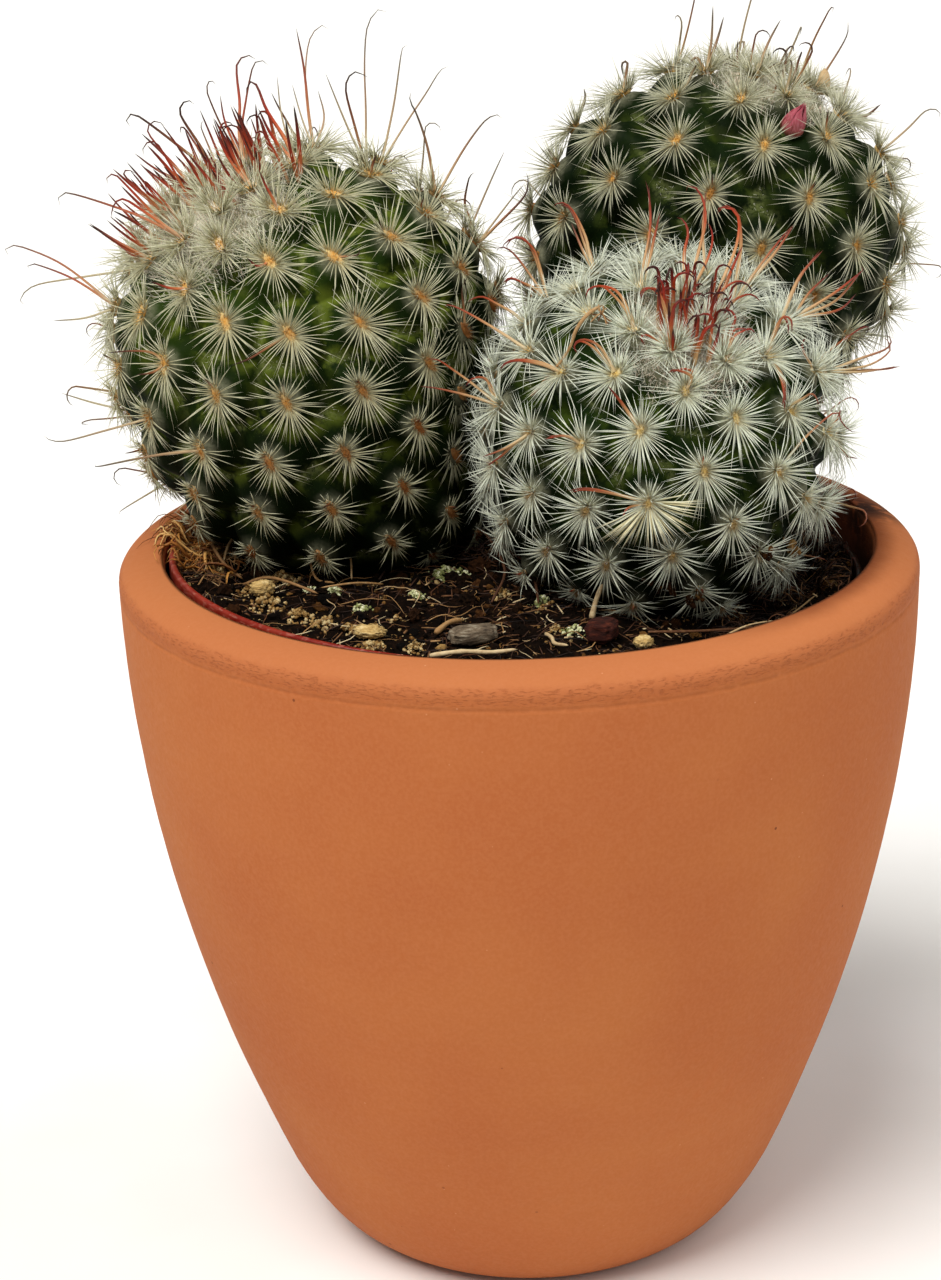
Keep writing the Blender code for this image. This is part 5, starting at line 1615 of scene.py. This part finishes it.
# Spines that stand out in the photograph, by head: tilt away from the camera, thickness of the root,
# paleness, then the pixels' x and y from the root over the bends to the tip. Each grows from the areole
# nearest to its first pixel.
SEEN_SPINES = {
    LEFT: [
        (-0.1, 0.24, 0.2, 170, 247, 134, 222, 98, 202, 68, 193, 60, 195, 58, 201, 60, 207),
        (-0.3, 0.27, 0.0, 195, 226, 150, 210, 126, 200, 117, 201, 112, 210, 112, 219),
        (0.1, 0.25, 0.1, 141, 262, 114, 241, 89, 223),
        (-0.1, 0.22, 0.3, 130, 300, 67, 264, 22, 247, 12, 246, 5, 250, 9, 257),
        (0.2, 0.22, 0.1, 132, 300, 78, 278, 38, 265, 30, 265, 26, 268, 30, 271),
        (0.3, 0.2, 0.9, 130, 276, 78, 280, 40, 284, 26, 291, 20, 300, 26, 307),
        (0.2, 0.2, 1.0, 118, 320, 86, 321, 52, 321),
        (-0.2, 0.22, 0.0, 144, 372, 140, 359, 132, 353, 117, 352, 107, 353),
        (0.0, 0.22, 0.1, 127, 372, 115, 362, 102, 354),
        (0.2, 0.2, 1.0, 120, 412, 91, 403, 61, 393),
        (0.1, 0.2, 0.6, 138, 433, 100, 437, 66, 441, 50, 440, 43, 435),
        (-0.3, 0.24, 0.4, 175, 441, 143, 451, 102, 466, 96, 467, 92, 464, 95, 463),
        (-0.1, 0.18, 0.9, 178, 487, 156, 495, 122, 510, 119, 515),
        (0.0, 0.3, 0.0, 218, 185, 191, 163, 164, 136, 141, 118, 132, 114, 126, 119, 131, 128),
        (0.2, 0.22, 0.0, 165, 185, 153, 149, 148, 133, 149, 125, 157, 121, 166, 127),
        (0.1, 0.32, 0.0, 192, 185, 169, 159, 141, 133),
        (-0.1, 0.26, 0.0, 180, 190, 155, 170, 134, 153),
        (-0.3, 0.24, 0.0, 160, 203, 143, 185, 130, 170),
        (-0.2, 0.26, 0.0, 160, 212, 143, 193, 130, 178),
        (0.0, 0.3, 0.0, 230, 190, 215, 170, 200, 146, 182, 118, 180, 108, 187, 100, 195, 105),
        (0.3, 0.2, 0.2, 221, 188, 211, 155, 202, 130, 201, 124, 204, 120),
        (-0.2, 0.26, 0.0, 236, 190, 224, 158, 212, 123),
        (0.1, 0.24, 0.0, 246, 172, 232, 140, 224, 118, 220, 94),
        (-0.1, 0.34, 0.0, 243, 182, 232, 156, 221, 129),
        (0.2, 0.3, 0.0, 268, 170, 255, 136, 244, 104, 237, 78, 237, 64, 246, 55, 257, 60),
        (0.0, 0.22, 0.1, 262, 168, 252, 130, 248, 100, 250, 78, 254, 64, 261, 60, 269, 66),
        (0.1, 0.34, 0.0, 275, 158, 270, 135, 263, 109, 258, 88, 252, 81, 247, 88, 246, 96),
        (-0.1, 0.34, 0.0, 278, 162, 268, 136, 258, 108),
        (-0.2, 0.34, 0.0, 266, 168, 251, 140, 236, 111),
        (0.1, 0.17, 0.9, 281, 157, 279, 115, 277, 75),
        (0.0, 0.24, 0.1, 303, 158, 288, 125, 279, 108, 271, 92),
        (0.3, 0.17, 0.9, 313, 154, 302, 120, 292, 84),
        (0.0, 0.27, 0.1, 316, 158, 310, 120, 304, 69, 296, 27),
        (0.3, 0.18, 0.5, 318, 157, 308, 100, 306, 62, 311, 36, 323, 25, 330, 30),
        (0.2, 0.2, 0.7, 337, 158, 327, 120, 318, 90),
        (0.1, 0.2, 0.8, 352, 150, 341, 118, 325, 72),
        (-0.1, 0.25, 0.0, 344, 154, 343, 120, 345, 90, 350, 75, 357, 72, 369, 78),
        (0.3, 0.19, 0.3, 363, 150, 364, 100, 364, 66, 366, 34, 371, 18, 381, 8, 388, 12),
        (0.2, 0.2, 0.5, 395, 149, 398, 100, 402, 50, 408, 44),
        (0.4, 0.18, 0.4, 410, 152, 420, 117, 427, 93, 440, 71, 449, 66),
        (-0.1, 0.26, 0.2, 435, 168, 427, 136, 417, 115, 410, 101, 411, 91),
        (0.2, 0.22, 0.2, 451, 175, 468, 143, 482, 124, 492, 116, 499, 115, 503, 119),
        (0.3, 0.19, 0.5, 483, 197, 494, 173, 505, 150),
        (-0.2, 0.25, 0.0, 447, 246, 455, 230, 462, 205, 468, 182, 471, 175, 475, 172),
        (0.2, 0.25, 0.0, 510, 228, 518, 216, 526, 196, 528, 180, 526, 172),
        (0.4, 0.18, 0.7, 496, 222, 511, 200, 525, 183),
        (-0.3, 0.22, 0.1, 442, 320, 452, 306, 462, 290, 468, 276),
        (-0.4, 0.26, 0.0, 287, 228, 276, 205, 265, 184, 259, 170),
        (-0.4, 0.24, 0.0, 271, 285, 258, 270, 246, 257),
        (-0.4, 0.22, 0.0, 366, 268, 364, 258, 360, 248),
        (-0.3, 0.22, 0.0, 262, 364, 246, 364, 230, 366),
        (-0.3, 0.24, 0.0, 194, 301, 172, 291, 149, 281),
        (-0.3, 0.22, 0.0, 174, 376, 155, 375, 136, 375),
        (-0.3, 0.27, 0.0, 368, 192, 371, 172, 376, 154),
        (-0.2, 0.16, 0.3, 362, 196, 357, 178, 352, 161),
    ],
    FRONT: [
        (0.1, 0.26, 0.1, 562, 297, 542, 261, 527, 241, 515, 237, 507, 245, 508, 252),
        (0.2, 0.24, 0.1, 556, 313, 528, 272, 513, 253, 503, 247, 497, 249, 496, 253),
        (0.0, 0.26, 0.0, 562, 325, 542, 302, 527, 286, 513, 279, 506, 282, 506, 288),
        (-0.1, 0.26, 0.0, 525, 336, 512, 321, 496, 305, 483, 297, 472, 299, 467, 304),
        (0.1, 0.26, 0.1, 521, 351, 493, 330, 466, 312, 450, 305, 445, 306, 443, 310),
        (-0.3, 0.24, 0.0, 627, 334, 622, 315, 613, 297, 601, 286, 588, 290, 586, 300),
        (0.3, 0.34, 0.1, 600, 282, 588, 250, 577, 222, 568, 207, 558, 205),
        (0.4, 0.28, 0.3, 596, 284, 583, 252, 571, 222),
        (-0.1, 0.25, 0.0, 551, 376, 535, 365, 518, 360, 504, 364, 500, 372),
        (0.0, 0.24, 0.0, 493, 397, 470, 380, 452, 369, 438, 360, 426, 359),
        (-0.2, 0.24, 0.0, 522, 396, 506, 386, 487, 378, 472, 379, 465, 387),
        (0.0, 0.24, 0.1, 495, 399, 470, 393, 440, 389, 418, 386),
        (0.3, 0.27, 0.2, 650, 290, 652, 240, 649, 185),
        (0.2, 0.3, 0.0, 647, 290, 652, 262, 655, 235, 660, 212),
        (0.3, 0.26, 0.2, 694, 268, 700, 230, 706, 190),
        (0.1, 0.27, 0.0, 690, 296, 705, 268, 712, 245, 711, 228, 705, 221),
        (0.1, 0.3, 0.0, 719, 322, 727, 285, 737, 248, 739, 222, 733, 210, 724, 207, 716, 215),
        (0.0, 0.36, 0.0, 719, 325, 728, 285, 735, 262, 743, 245),
        (0.2, 0.3, 0.1, 755, 287, 775, 255, 794, 225),
        (0.1, 0.32, 0.1, 767, 304, 797, 275, 823, 250),
        (0.2, 0.26, 0.0, 790, 316, 808, 293, 831, 272),
        (0.2, 0.27, 0.1, 800, 333, 835, 305, 862, 271),
        (0.1, 0.27, 0.0, 803, 336, 838, 311, 857, 293),
        (-0.2, 0.25, 0.0, 670, 340, 667, 318, 662, 298, 654, 288, 644, 291, 640, 301),
        (-0.1, 0.26, 0.0, 728, 328, 734, 307, 743, 296, 753, 295, 762, 303),
        (-0.2, 0.26, 0.0, 716, 351, 723, 338, 733, 330, 745, 329, 750, 333),
        (-0.1, 0.27, 0.0, 763, 357, 775, 331, 783, 317, 788, 325, 788, 336),
        (-0.2, 0.25, 0.0, 614, 362, 602, 350, 592, 344, 580, 341, 574, 347, 578, 354),
        (-0.3, 0.25, 0.0, 660, 360, 652, 345, 645, 335, 641, 338, 645, 346),
        (-0.3, 0.25, 0.0, 703, 405, 701, 385, 693, 372, 682, 369, 670, 373),
        (-0.2, 0.26, 0.0, 757, 350, 775, 368, 785, 390, 784, 412),
        (-0.1, 0.24, 0.0, 798, 365, 800, 348, 806, 335),
        (0.2, 0.26, 0.3, 832, 378, 860, 362, 884, 350, 891, 343, 889, 336, 884, 335),
        (0.3, 0.24, 0.1, 851, 382, 868, 376, 886, 369, 901, 366),
        (0.0, 0.24, 0.0, 805, 442, 822, 430, 837, 419, 840, 411, 838, 407),
        (0.1, 0.2, 0.2, 829, 458, 845, 457, 858, 459),
        (-0.2, 0.26, 0.0, 590, 446, 575, 438, 560, 436, 545, 439),
        (-0.2, 0.26, 0.0, 545, 456, 520, 453, 500, 457, 487, 466),
        (-0.2, 0.26, 0.0, 618, 494, 600, 490, 585, 490, 570, 493),
        (-0.2, 0.25, 0.0, 618, 494, 620, 505, 622, 518),
        (0.1, 0.28, 0.0, 608, 290, 600, 268, 590, 243, 575, 214, 566, 204, 558, 203, 552, 208),
        (0.0, 0.27, 0.0, 563, 300, 549, 270, 535, 249, 520, 238, 507, 241, 501, 250),
        (-0.1, 0.26, 0.0, 555, 325, 540, 300, 523, 283, 510, 278, 502, 284),
        (0.2, 0.24, 0.0, 650, 300, 650, 280, 651, 228, 649, 196, 645, 179),
        (0.2, 0.3, 0.0, 690, 290, 700, 252, 706, 220, 702, 197, 693, 186, 686, 187, 685, 194),
        (0.1, 0.34, 0.0, 719, 310, 736, 256, 740, 228, 737, 213, 727, 206, 718, 209, 716, 216),
        (0.2, 0.34, 0.0, 676, 300, 682, 256, 688, 234, 684, 221, 676, 217),
        (0.2, 0.27, 0.0, 745, 300, 764, 264, 780, 240, 794, 224),
        (0.1, 0.26, 0.0, 770, 316, 780, 300, 800, 276, 820, 250),
        (0.1, 0.28, 0.0, 790, 330, 832, 296, 856, 276, 863, 270, 861, 264),
        (-0.1, 0.28, 0.0, 626, 330, 624, 316, 616, 292, 600, 286, 588, 290, 586, 299),
        (-0.2, 0.26, 0.0, 665, 330, 664, 322, 660, 296, 650, 288, 642, 290, 640, 298),
        (-0.1, 0.26, 0.0, 715, 330, 718, 305, 726, 288, 738, 281, 748, 285, 751, 292),
        (-0.5, 0.27, 0.0, 699, 410, 697, 386, 686, 373, 673, 370, 668, 374),
        (-0.4, 0.27, 0.0, 618, 372, 602, 348, 587, 340, 576, 342, 573, 350),
        (-0.3, 0.26, 0.0, 552, 381, 535, 369, 518, 361, 505, 364, 500, 371),
        (-0.2, 0.24, 0.1, 516, 396, 497, 383, 480, 377, 470, 380),
        (-0.5, 0.28, 0.0, 764, 355, 778, 373, 784, 394, 782, 407),
        (-0.3, 0.27, 0.0, 770, 352, 776, 330, 783, 317, 791, 320, 792, 333),
        (-0.2, 0.26, 0.0, 715, 348, 728, 333, 749, 329, 756, 334),
        (-0.6, 0.24, 0.2, 590, 446, 570, 437, 547, 436),
        (-0.4, 0.24, 0.2, 530, 459, 505, 453, 482, 457),
        (-0.6, 0.24, 0.1, 618, 494, 589, 488, 566, 491),
        (0.1, 0.2, 0.1, 797, 452, 816, 427, 836, 411, 841, 421, 850, 431, 860, 432),
        (0.1, 0.22, 0.3, 835, 385, 870, 369, 889, 352, 888, 341, 882, 337),
        (0.1, 0.2, 0.4, 835, 388, 866, 375, 898, 366),
        (0.0, 0.2, 0.1, 828, 452, 845, 456, 856, 458),
        (-0.7, 0.32, 0.0, 637, 415, 622, 401, 608, 386),
        (0.2, 0.28, 0.0, 598, 272, 590, 250, 581, 230),
    ],
    BACK: [
        (0.1, 0.26, 0.3, 717, 68, 715, 40, 713, 5),
        (0.2, 0.3, 0.2, 717, 66, 719, 40, 724, 16),
        (0.0, 0.3, 0.2, 741, 82, 745, 55, 744, 42, 738, 44, 732, 57),
        (0.2, 0.28, 0.3, 750, 72, 768, 42, 781, 19),
        (0.1, 0.3, 0.3, 779, 76, 785, 66, 791, 58),
        (-0.1, 0.26, 0.3, 754, 84, 766, 72, 777, 62),
        (0.1, 0.2, 0.1, 828, 86, 839, 56, 847, 35, 848, 21),
        (0.2, 0.2, 0.5, 873, 137, 906, 123, 924, 112, 934, 109, 940, 113, 939, 119),
        (0.0, 0.34, 0.1, 850, 134, 866, 120, 881, 104),
        (-0.1, 0.3, 0.3, 718, 67, 706, 59, 697, 57, 690, 64, 692, 72),
        (-0.1, 0.3, 0.2, 649, 88, 638, 72, 628, 62, 622, 64, 623, 76),
        (0.0, 0.34, 0.6, 590, 110, 587, 98, 584, 88),
    ],
}


def seen_spine(areoles, tilt, pixels, count):
    """A spine through pixels of the photograph; it grows from the areole nearest to the first of them."""
    index = nearest_areole(areoles, pixels[0])
    root = areoles.top[index]
    seen, depth = projected(root[None])
    gone = np.concatenate(([0.0], np.cumsum(np.linalg.norm(np.diff(pixels, axis=0), axis=1))))
    shifted = pixels + (seen[0] - pixels[0]) * (1 - smooth(gone / gone[-1] * 1.4))[:, None]
    reach = gone * depth[0] / FOCAL_PIXELS
    points = [seen_at_depth(pixel, depth[0] + tilt * far) for pixel, far in zip(shifted, reach)]
    return index, smooth_curve([root] + points[1:], count)


def hook(root, aim, bend, length, radius, turn, count):
    """A spine that runs straight, bowing a little, and ends in a hook."""
    side = np.cross(aim, bend)
    path = []
    for gone in np.linspace(0, 1, count) * (length + radius * turn):
        straight = min(gone, length)
        angle = max(0.0, gone - length) / radius
        bow = 0.035 * length * math.sin(math.pi * straight / length)
        curl = (aim * math.sin(angle) + bend * (1 - math.cos(angle))) * radius
        path.append(root + aim * straight + side * bow + curl)
    return np.array(path)


def central_plan(head, areoles, i, rng, taken):
    """The spines that grow from an areole by rule: the length, width and hook's turn of each."""
    if i in taken or areoles.theta[i] < 0.7 * head.brush[0]:
        return []
    chance = rng.uniform(0, 1)
    hidden = areoles.facing[i] < 0.1
    if areoles.theta[i] < math.radians(48):
        if chance < 0.75 and hidden:
            return [(rng.uniform(8, 13), rng.uniform(0.17, 0.24), HOOK_TURN)]
        if chance < 0.45:
            return [(rng.uniform(3.0, 6), rng.uniform(0.18, 0.25), rng.choice((0.0, 1.9)))]
        return []
    if hidden and chance < 0.42:
        return [(rng.uniform(5, 11), rng.uniform(0.16, 0.22), HOOK_TURN)]
    if chance < 0.5:
        return [(rng.uniform(1.6, 3.6), rng.uniform(0.15, 0.2), 0.0)]
    return []


def brush_spines(head, count):
    """Thick spines, some of them hooked, that crowd round the apex."""
    rng = head.rng
    reach, number, shortest, longest, thin, thick = head.brush
    tries = int(1.7 * number)
    theta = reach * np.sqrt(rng.uniform(0, 1, tries))
    phi = rng.uniform(0, 2 * math.pi, tries)
    local = np.array([polar(*angles) for angles in zip(theta, phi)])
    normal = outward(head, local)
    roots = kept_apart(head, drawn_point(head, local) + normal * 0.5 * head.rise, SEAM_GAP)
    chosen = np.argsort(-roots @ head.brush_side, kind="stable")[:number]
    roots, normal = roots[chosen], normal[chosen]
    aims = unit(normal + np.array(head.brush_lean) + rng.normal(0, 0.15, (number, 3)))
    paths = []
    for root, aim in zip(roots, aims):
        bend = unit(np.cross(aim, rng.normal(0, 1, 3)))
        turn = rng.choice((0.0, 0.0, 0.0, HOOK_TURN) if head is LEFT else (0.0, HOOK_TURN))
        length = rng.uniform(shortest, longest)
        paths.append(hook(root, aim, bend, length, rng.uniform(0.9, 1.5), turn, count))
    return paths, list(rng.uniform(thin, thick, number))


def clear_of_others(head, points):
    """Whether points keep above the mix and the rims, and about on their side of the planes."""
    above = all(z >= ground(x, y) + 0.6 for x, y, z in points)
    return above and all(float(np.min(level - points @ normal)) >= -1.0 for normal, level in head.seams)


def centrals(head, areoles, look):
    """The hooked central spines: a brush at the apex, those seen in the photograph, and others by rule."""
    rng = head.rng
    count = 16
    plain_red, brush_red = head.redness
    paths, widths = brush_spines(head, count)
    pales = [0.0] * len(paths)
    shades = list(rng.uniform(0.3, 0.8, len(paths)) + (0.35 if head is FRONT else 0.0))
    reds = [brush_red] * len(paths)

    def grow(path, width, pale, shade, red):
        for group, value in zip((paths, widths, pales, shades, reds), (path, width, pale, shade, red)):
            group.append(value)

    taken = set()
    for tilt, width, pale, *pixels in SEEN_SPINES[head]:
        index, path = seen_spine(areoles, tilt, np.array(pixels, float).reshape(-1, 2), count)
        taken.add(index)
        grow(path, width, pale, rng.uniform(0.1, 0.5) if head is FRONT else rng.uniform(0.35, 0.75),
             plain_red if areoles.theta[index] > 1.5 * head.brush[0] else brush_red)
    for i in range(len(areoles.top)):
        normal, up, side = areoles.normal[i], areoles.up[i], areoles.side[i]
        for length, width, turn in central_plan(head, areoles, i, rng, taken):
            edge = smooth(areoles.theta[i] / math.radians(45))
            aim = unit(normal + up * (0.15 + 0.5 * edge) + rng.normal(0, 0.16, 3))
            bend = unit(aim * float(aim @ up) - up)
            bend = np.array(Matrix.Rotation(rng.uniform(-1.2, 1.2), 3, Vector(aim)) @ Vector(bend))
            root = areoles.top[i] + up * 0.5 * head.felt[0] + side * rng.uniform(-0.4, 0.4)
            path = hook(root, aim, bend, length, rng.uniform(1.2, 1.9), turn, count)
            if clear_of_others(head, path[3:]):
                grow(path, width, rng.choice((0.0, 0.0, 0.25, 0.6)), rng.uniform(0.2, 0.8), plain_red)
    taper = np.interp(np.linspace(0, 1, count), (0, 0.1, 0.6, 0.85, 1), (0.9, 1.0, 0.72, 0.5, 0.1))
    soup = Soup()
    soup.add_tubes(np.array(paths), np.array(widths)[:, None] * taper, 5, shade=np.array(shades),
                   pale=np.array(pales), red=np.array(reds) * rng.uniform(0.6, 1.0, len(reds)))
    show(head.name + "_hooked_spines", soup, look, head.name)


# The stalk's pixels, each with its y in millimetres
STALK = ((509, 415, -13), (535, 392, -20), (547, 377, -23), (562, 360, -25.5), (571, 345, -26.5),
         (575, 332, -27.2), (581, 322, -27.5), (590, 312, -27.5), (603, 305, -27))
STALK_FLOWER = (602, 313, -27.5)

# Flower crumbs: pixel, size and shade
CRUMB_SPOTS = (
    ((790, 548), 1.5, 0.78), ((787, 540), 1.1, 0.7), ((767, 553), 1.2, 0.5), ((752, 551), 1.0, 0.45),
    ((648, 583), 1.3, 0.5), ((659, 588), 1.1, 0.48), ((671, 589), 1.0, 0.55), ((690, 600), 1.0, 0.5),
    ((700, 596), 0.9, 0.6),
)


def dried_stalk():
    """A dry flower stalk that leans over the front head's left shoulder, with a withered flower on it."""
    count = 30
    path = smooth_curve([seen_at_y((x, y), depth) for x, y, depth in STALK], count)
    ridges = np.array([1 + 0.3 * noise.noise(Vector(p) / 0.8) for p in path])
    taper = np.interp(np.linspace(0, 1, count), (0, 0.1, 0.7, 0.95, 1), (0.5, 1, 1.1, 1.5, 0.3))
    soup = Soup()
    soup.add_tubes(path[None], 0.18 * ridges * taper, 8, shade=np.array([0.78]))
    rng = np.random.default_rng(21)
    flower = seen_at_y(STALK_FLOWER[:2], STALK_FLOWER[2])
    t = np.linspace(0, 1, 9)[:, None]
    curls = []
    for _ in range(12):
        way = unit(rng.normal(0, 1, 3))
        curl = unit(rng.normal(0, 1, 3))
        curls.append(flower + 1.4 * (way * t + curl * t ** 2 * 0.8))
    soup.add_tubes(np.array(curls), 0.11, 4, shade=rng.uniform(0.5, 0.85, len(curls)))
    show("front_head_dried_stalk", soup, fibre_look(), "cactus_head_front")


def dried_bits():
    """Withered flower crumbs that hang in the front head's lower spines."""
    rng = np.random.default_rng(33)
    areoles = FRONT.areoles
    points, tris = ball(2)
    count = 14
    soup = Soup()
    for pixel, size, shade in CRUMB_SPOTS:
        index = nearest_areole(areoles, pixel, 0.2)
        _, depth = projected(areoles.top[index][None] + areoles.normal[index] * 1.5)
        places = seen_at_depth(pixel, depth[0]) + rng.normal(0, 0.4 * size, (count, 3))
        shape = lumpy_shapes(rng, count, points, 0.6)
        shape = shape * (rng.uniform(0.25, 0.65, count) * size)[:, None, None]
        soup.add_copies(shape, tris, above_ground(places, 0.4), random_turns(rng, count),
                        shade=np.clip(rng.normal(shade, 0.08, count), 0, 1))
    show("front_head_dried_bits", soup, crumb_look(), "cactus_head_front", flat=True)


def petal_quads(rows, columns):
    """The quads of a petal: its outer and inner sheets, its two sides, and its foot and tip."""
    size = columns + 1
    top = (rows + 1) * size
    quads = []
    for i in range(rows):
        for j in range(columns):
            a = i * size + j
            quads.append((a, a + 1, a + 1 + size, a + size))
            quads.append((top + a, top + a + size, top + a + 1 + size, top + a + 1))
    for i in range(rows):
        a, b = i * size, i * size + columns
        quads.append((a, a + size, top + a + size, top + a))
        quads.append((b, top + b, top + b + size, b + size))
    for j in range(columns):
        a, b = j, rows * size + j
        quads.append((a, top + a, top + a + 1, a + 1))
        quads.append((b, b + 1, top + b + 1, top + b))
    return quads


def flower_bud():
    """A closed bud of overlapping petals, over the solid's own axis."""
    corners = np.array([v.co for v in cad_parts["flower_bud"].data.vertices]) / MM
    apart = np.linalg.norm(corners[:, None] - corners[None], axis=2)
    one, other = np.unravel_index(np.argmax(apart), apart.shape)
    start, end = sorted((corners[one], corners[other]), key=lambda p: np.linalg.norm(p - BACK.centre))
    way = unit(end - start)
    length = float(np.linalg.norm(end - start))
    side = unit(np.cross(way, (0, 0, 1)))
    other_side = np.cross(way, side)
    rows, columns = 16, 9
    share_up = np.linspace(0, 1, rows + 1)
    along = np.tile(np.repeat(share_up, columns + 1), 2)
    quads = petal_quads(rows, columns)
    soup = Soup()
    for whorl, (petals, spread, reach) in enumerate(((5, 1.85, 0.78), (5, 1.6, 0.92), (4, 1.2, 1.0))):
        half = 1.25 * math.pi / petals
        for k in range(petals):
            middle = 2 * math.pi * (k + 0.5 * whorl) / petals + 0.3 * whorl
            grid = []
            for depth in (0.0, -0.22):
                for up in share_up:
                    swell = math.sin(math.pi * min(1, up * 1.02) ** 0.75) ** 0.7
                    radius = max(0.12, spread * swell + depth + 0.15 * whorl * (1 - up))
                    for level in 2 * np.arange(columns + 1) / columns - 1:
                        angle = middle + half * level * (1 - up ** 3)
                        r = radius * (1 + 0.07 * level)
                        z = length * reach * up * (1 - 0.05 * level ** 2)
                        spoke = side * r * math.cos(angle) + other_side * r * math.sin(angle)
                        grid.append(start + way * z + spoke)
            soup.add(grid, quads, along=along)
    show("flower_bud_petals", soup, petal_look(), "flower_bud")


def dried_fruit():
    """The pale stump of an old flower at the back head's right shoulder."""
    root = BACK.areoles.top[nearest_areole(BACK.areoles, (823, 96))]
    _, depth = projected(root[None])
    foot = seen_at_depth((822, 98), depth[0])
    tip = seen_at_depth((825, 68), depth[0] + 0.5)
    path = smooth_curve([root, blend(foot, tip, 0.3), blend(foot, tip, 0.7), tip], 12)
    radii = np.array((0.75, 0.8, 0.85, 0.88, 0.9, 0.95, 1.0, 0.98, 0.9, 0.75, 0.5, 0.0))
    soup = Soup()
    soup.add_tubes(path[None], radii, 12, shade=np.array([0.85]))
    show("back_head_dried_fruit", soup, fibre_look(), "cactus_head_back")


# The colours of each head: its skin (painted shade, then dark, middle, light and valley line), radial
# spines, felt and hooked spines
LOOKS = {
    LEFT: {
        "skin": ("left_skin", "040802", "081203", "132307", "2E4210", "6A7826"),
        "radials": ("left_radials", "DED2A4", "C8C6A4", "D2D0B6"),
        "felt": ("left_felt", "DFCC92", "C98E3A", "96582A"),
        "centrals": ("left_centrals", (0.0, "E0BE98"), (0.28, "CC7444"), (0.52, "AC3419"), (0.76, "6E1C12"),
                     (0.93, "32110D"), (1.0, "120B0A")),
    },
    FRONT: {
        "skin": ("front_skin", "020602", "050E03", "091604", "16290A", "3E4E14"),
        "radials": ("front_radials", "EFE6C4", "E4E9D4", "E8EEE0"),
        "felt": ("front_felt", "EFE2B4", "DDBE6C", "A5794A"),
        "centrals": ("front_centrals", (0.0, "DFC89E"), (0.38, "CC9A66"), (0.58, "B2421A"),
                     (0.82, "86190A"), (1.0, "340908")),
    },
    BACK: {
        "skin": ("back_skin", "030602", "060F03", "0B1805", "19290B", "343F12"),
        "radials": ("back_radials", "DDD0A4", "C2C2A4", "CCCAB6"),
        "felt": ("back_felt", "E0C688", "CC9236", "9A642C"),
        "centrals": ("back_centrals", (0.0, "CDB58A"), (0.4, "A8744C"), (0.7, "6B3B28"), (0.9, "33221B"),
                     (1.0, "1C1512")),
    },
}


def cactus_heads():
    hair = wool_look()
    for head in HEADS:
        looks = LOOKS[head]
        head.areoles = areoles = Areoles(head)
        skin = body(head, areoles, skin_look(*looks["skin"]))
        felt(head, areoles, felt_look(*looks["felt"]))
        pale = radial_look(*looks["radials"])
        radials(head, areoles, pale)
        star_hairs(head, areoles, pale)
        wool(head, hair, skin)
        centrals(head, areoles, central_look(*looks["centrals"]))


set_camera()
set_floor()
set_lights()
cover_pot()
nursery_pot()
mix_body()
crumbs()
grain_clusters()
fibres()
chaff()
sticks()
loose_pieces()
cactus_heads()
flower_bud()
dried_fruit()
dried_stalk()
dried_bits()
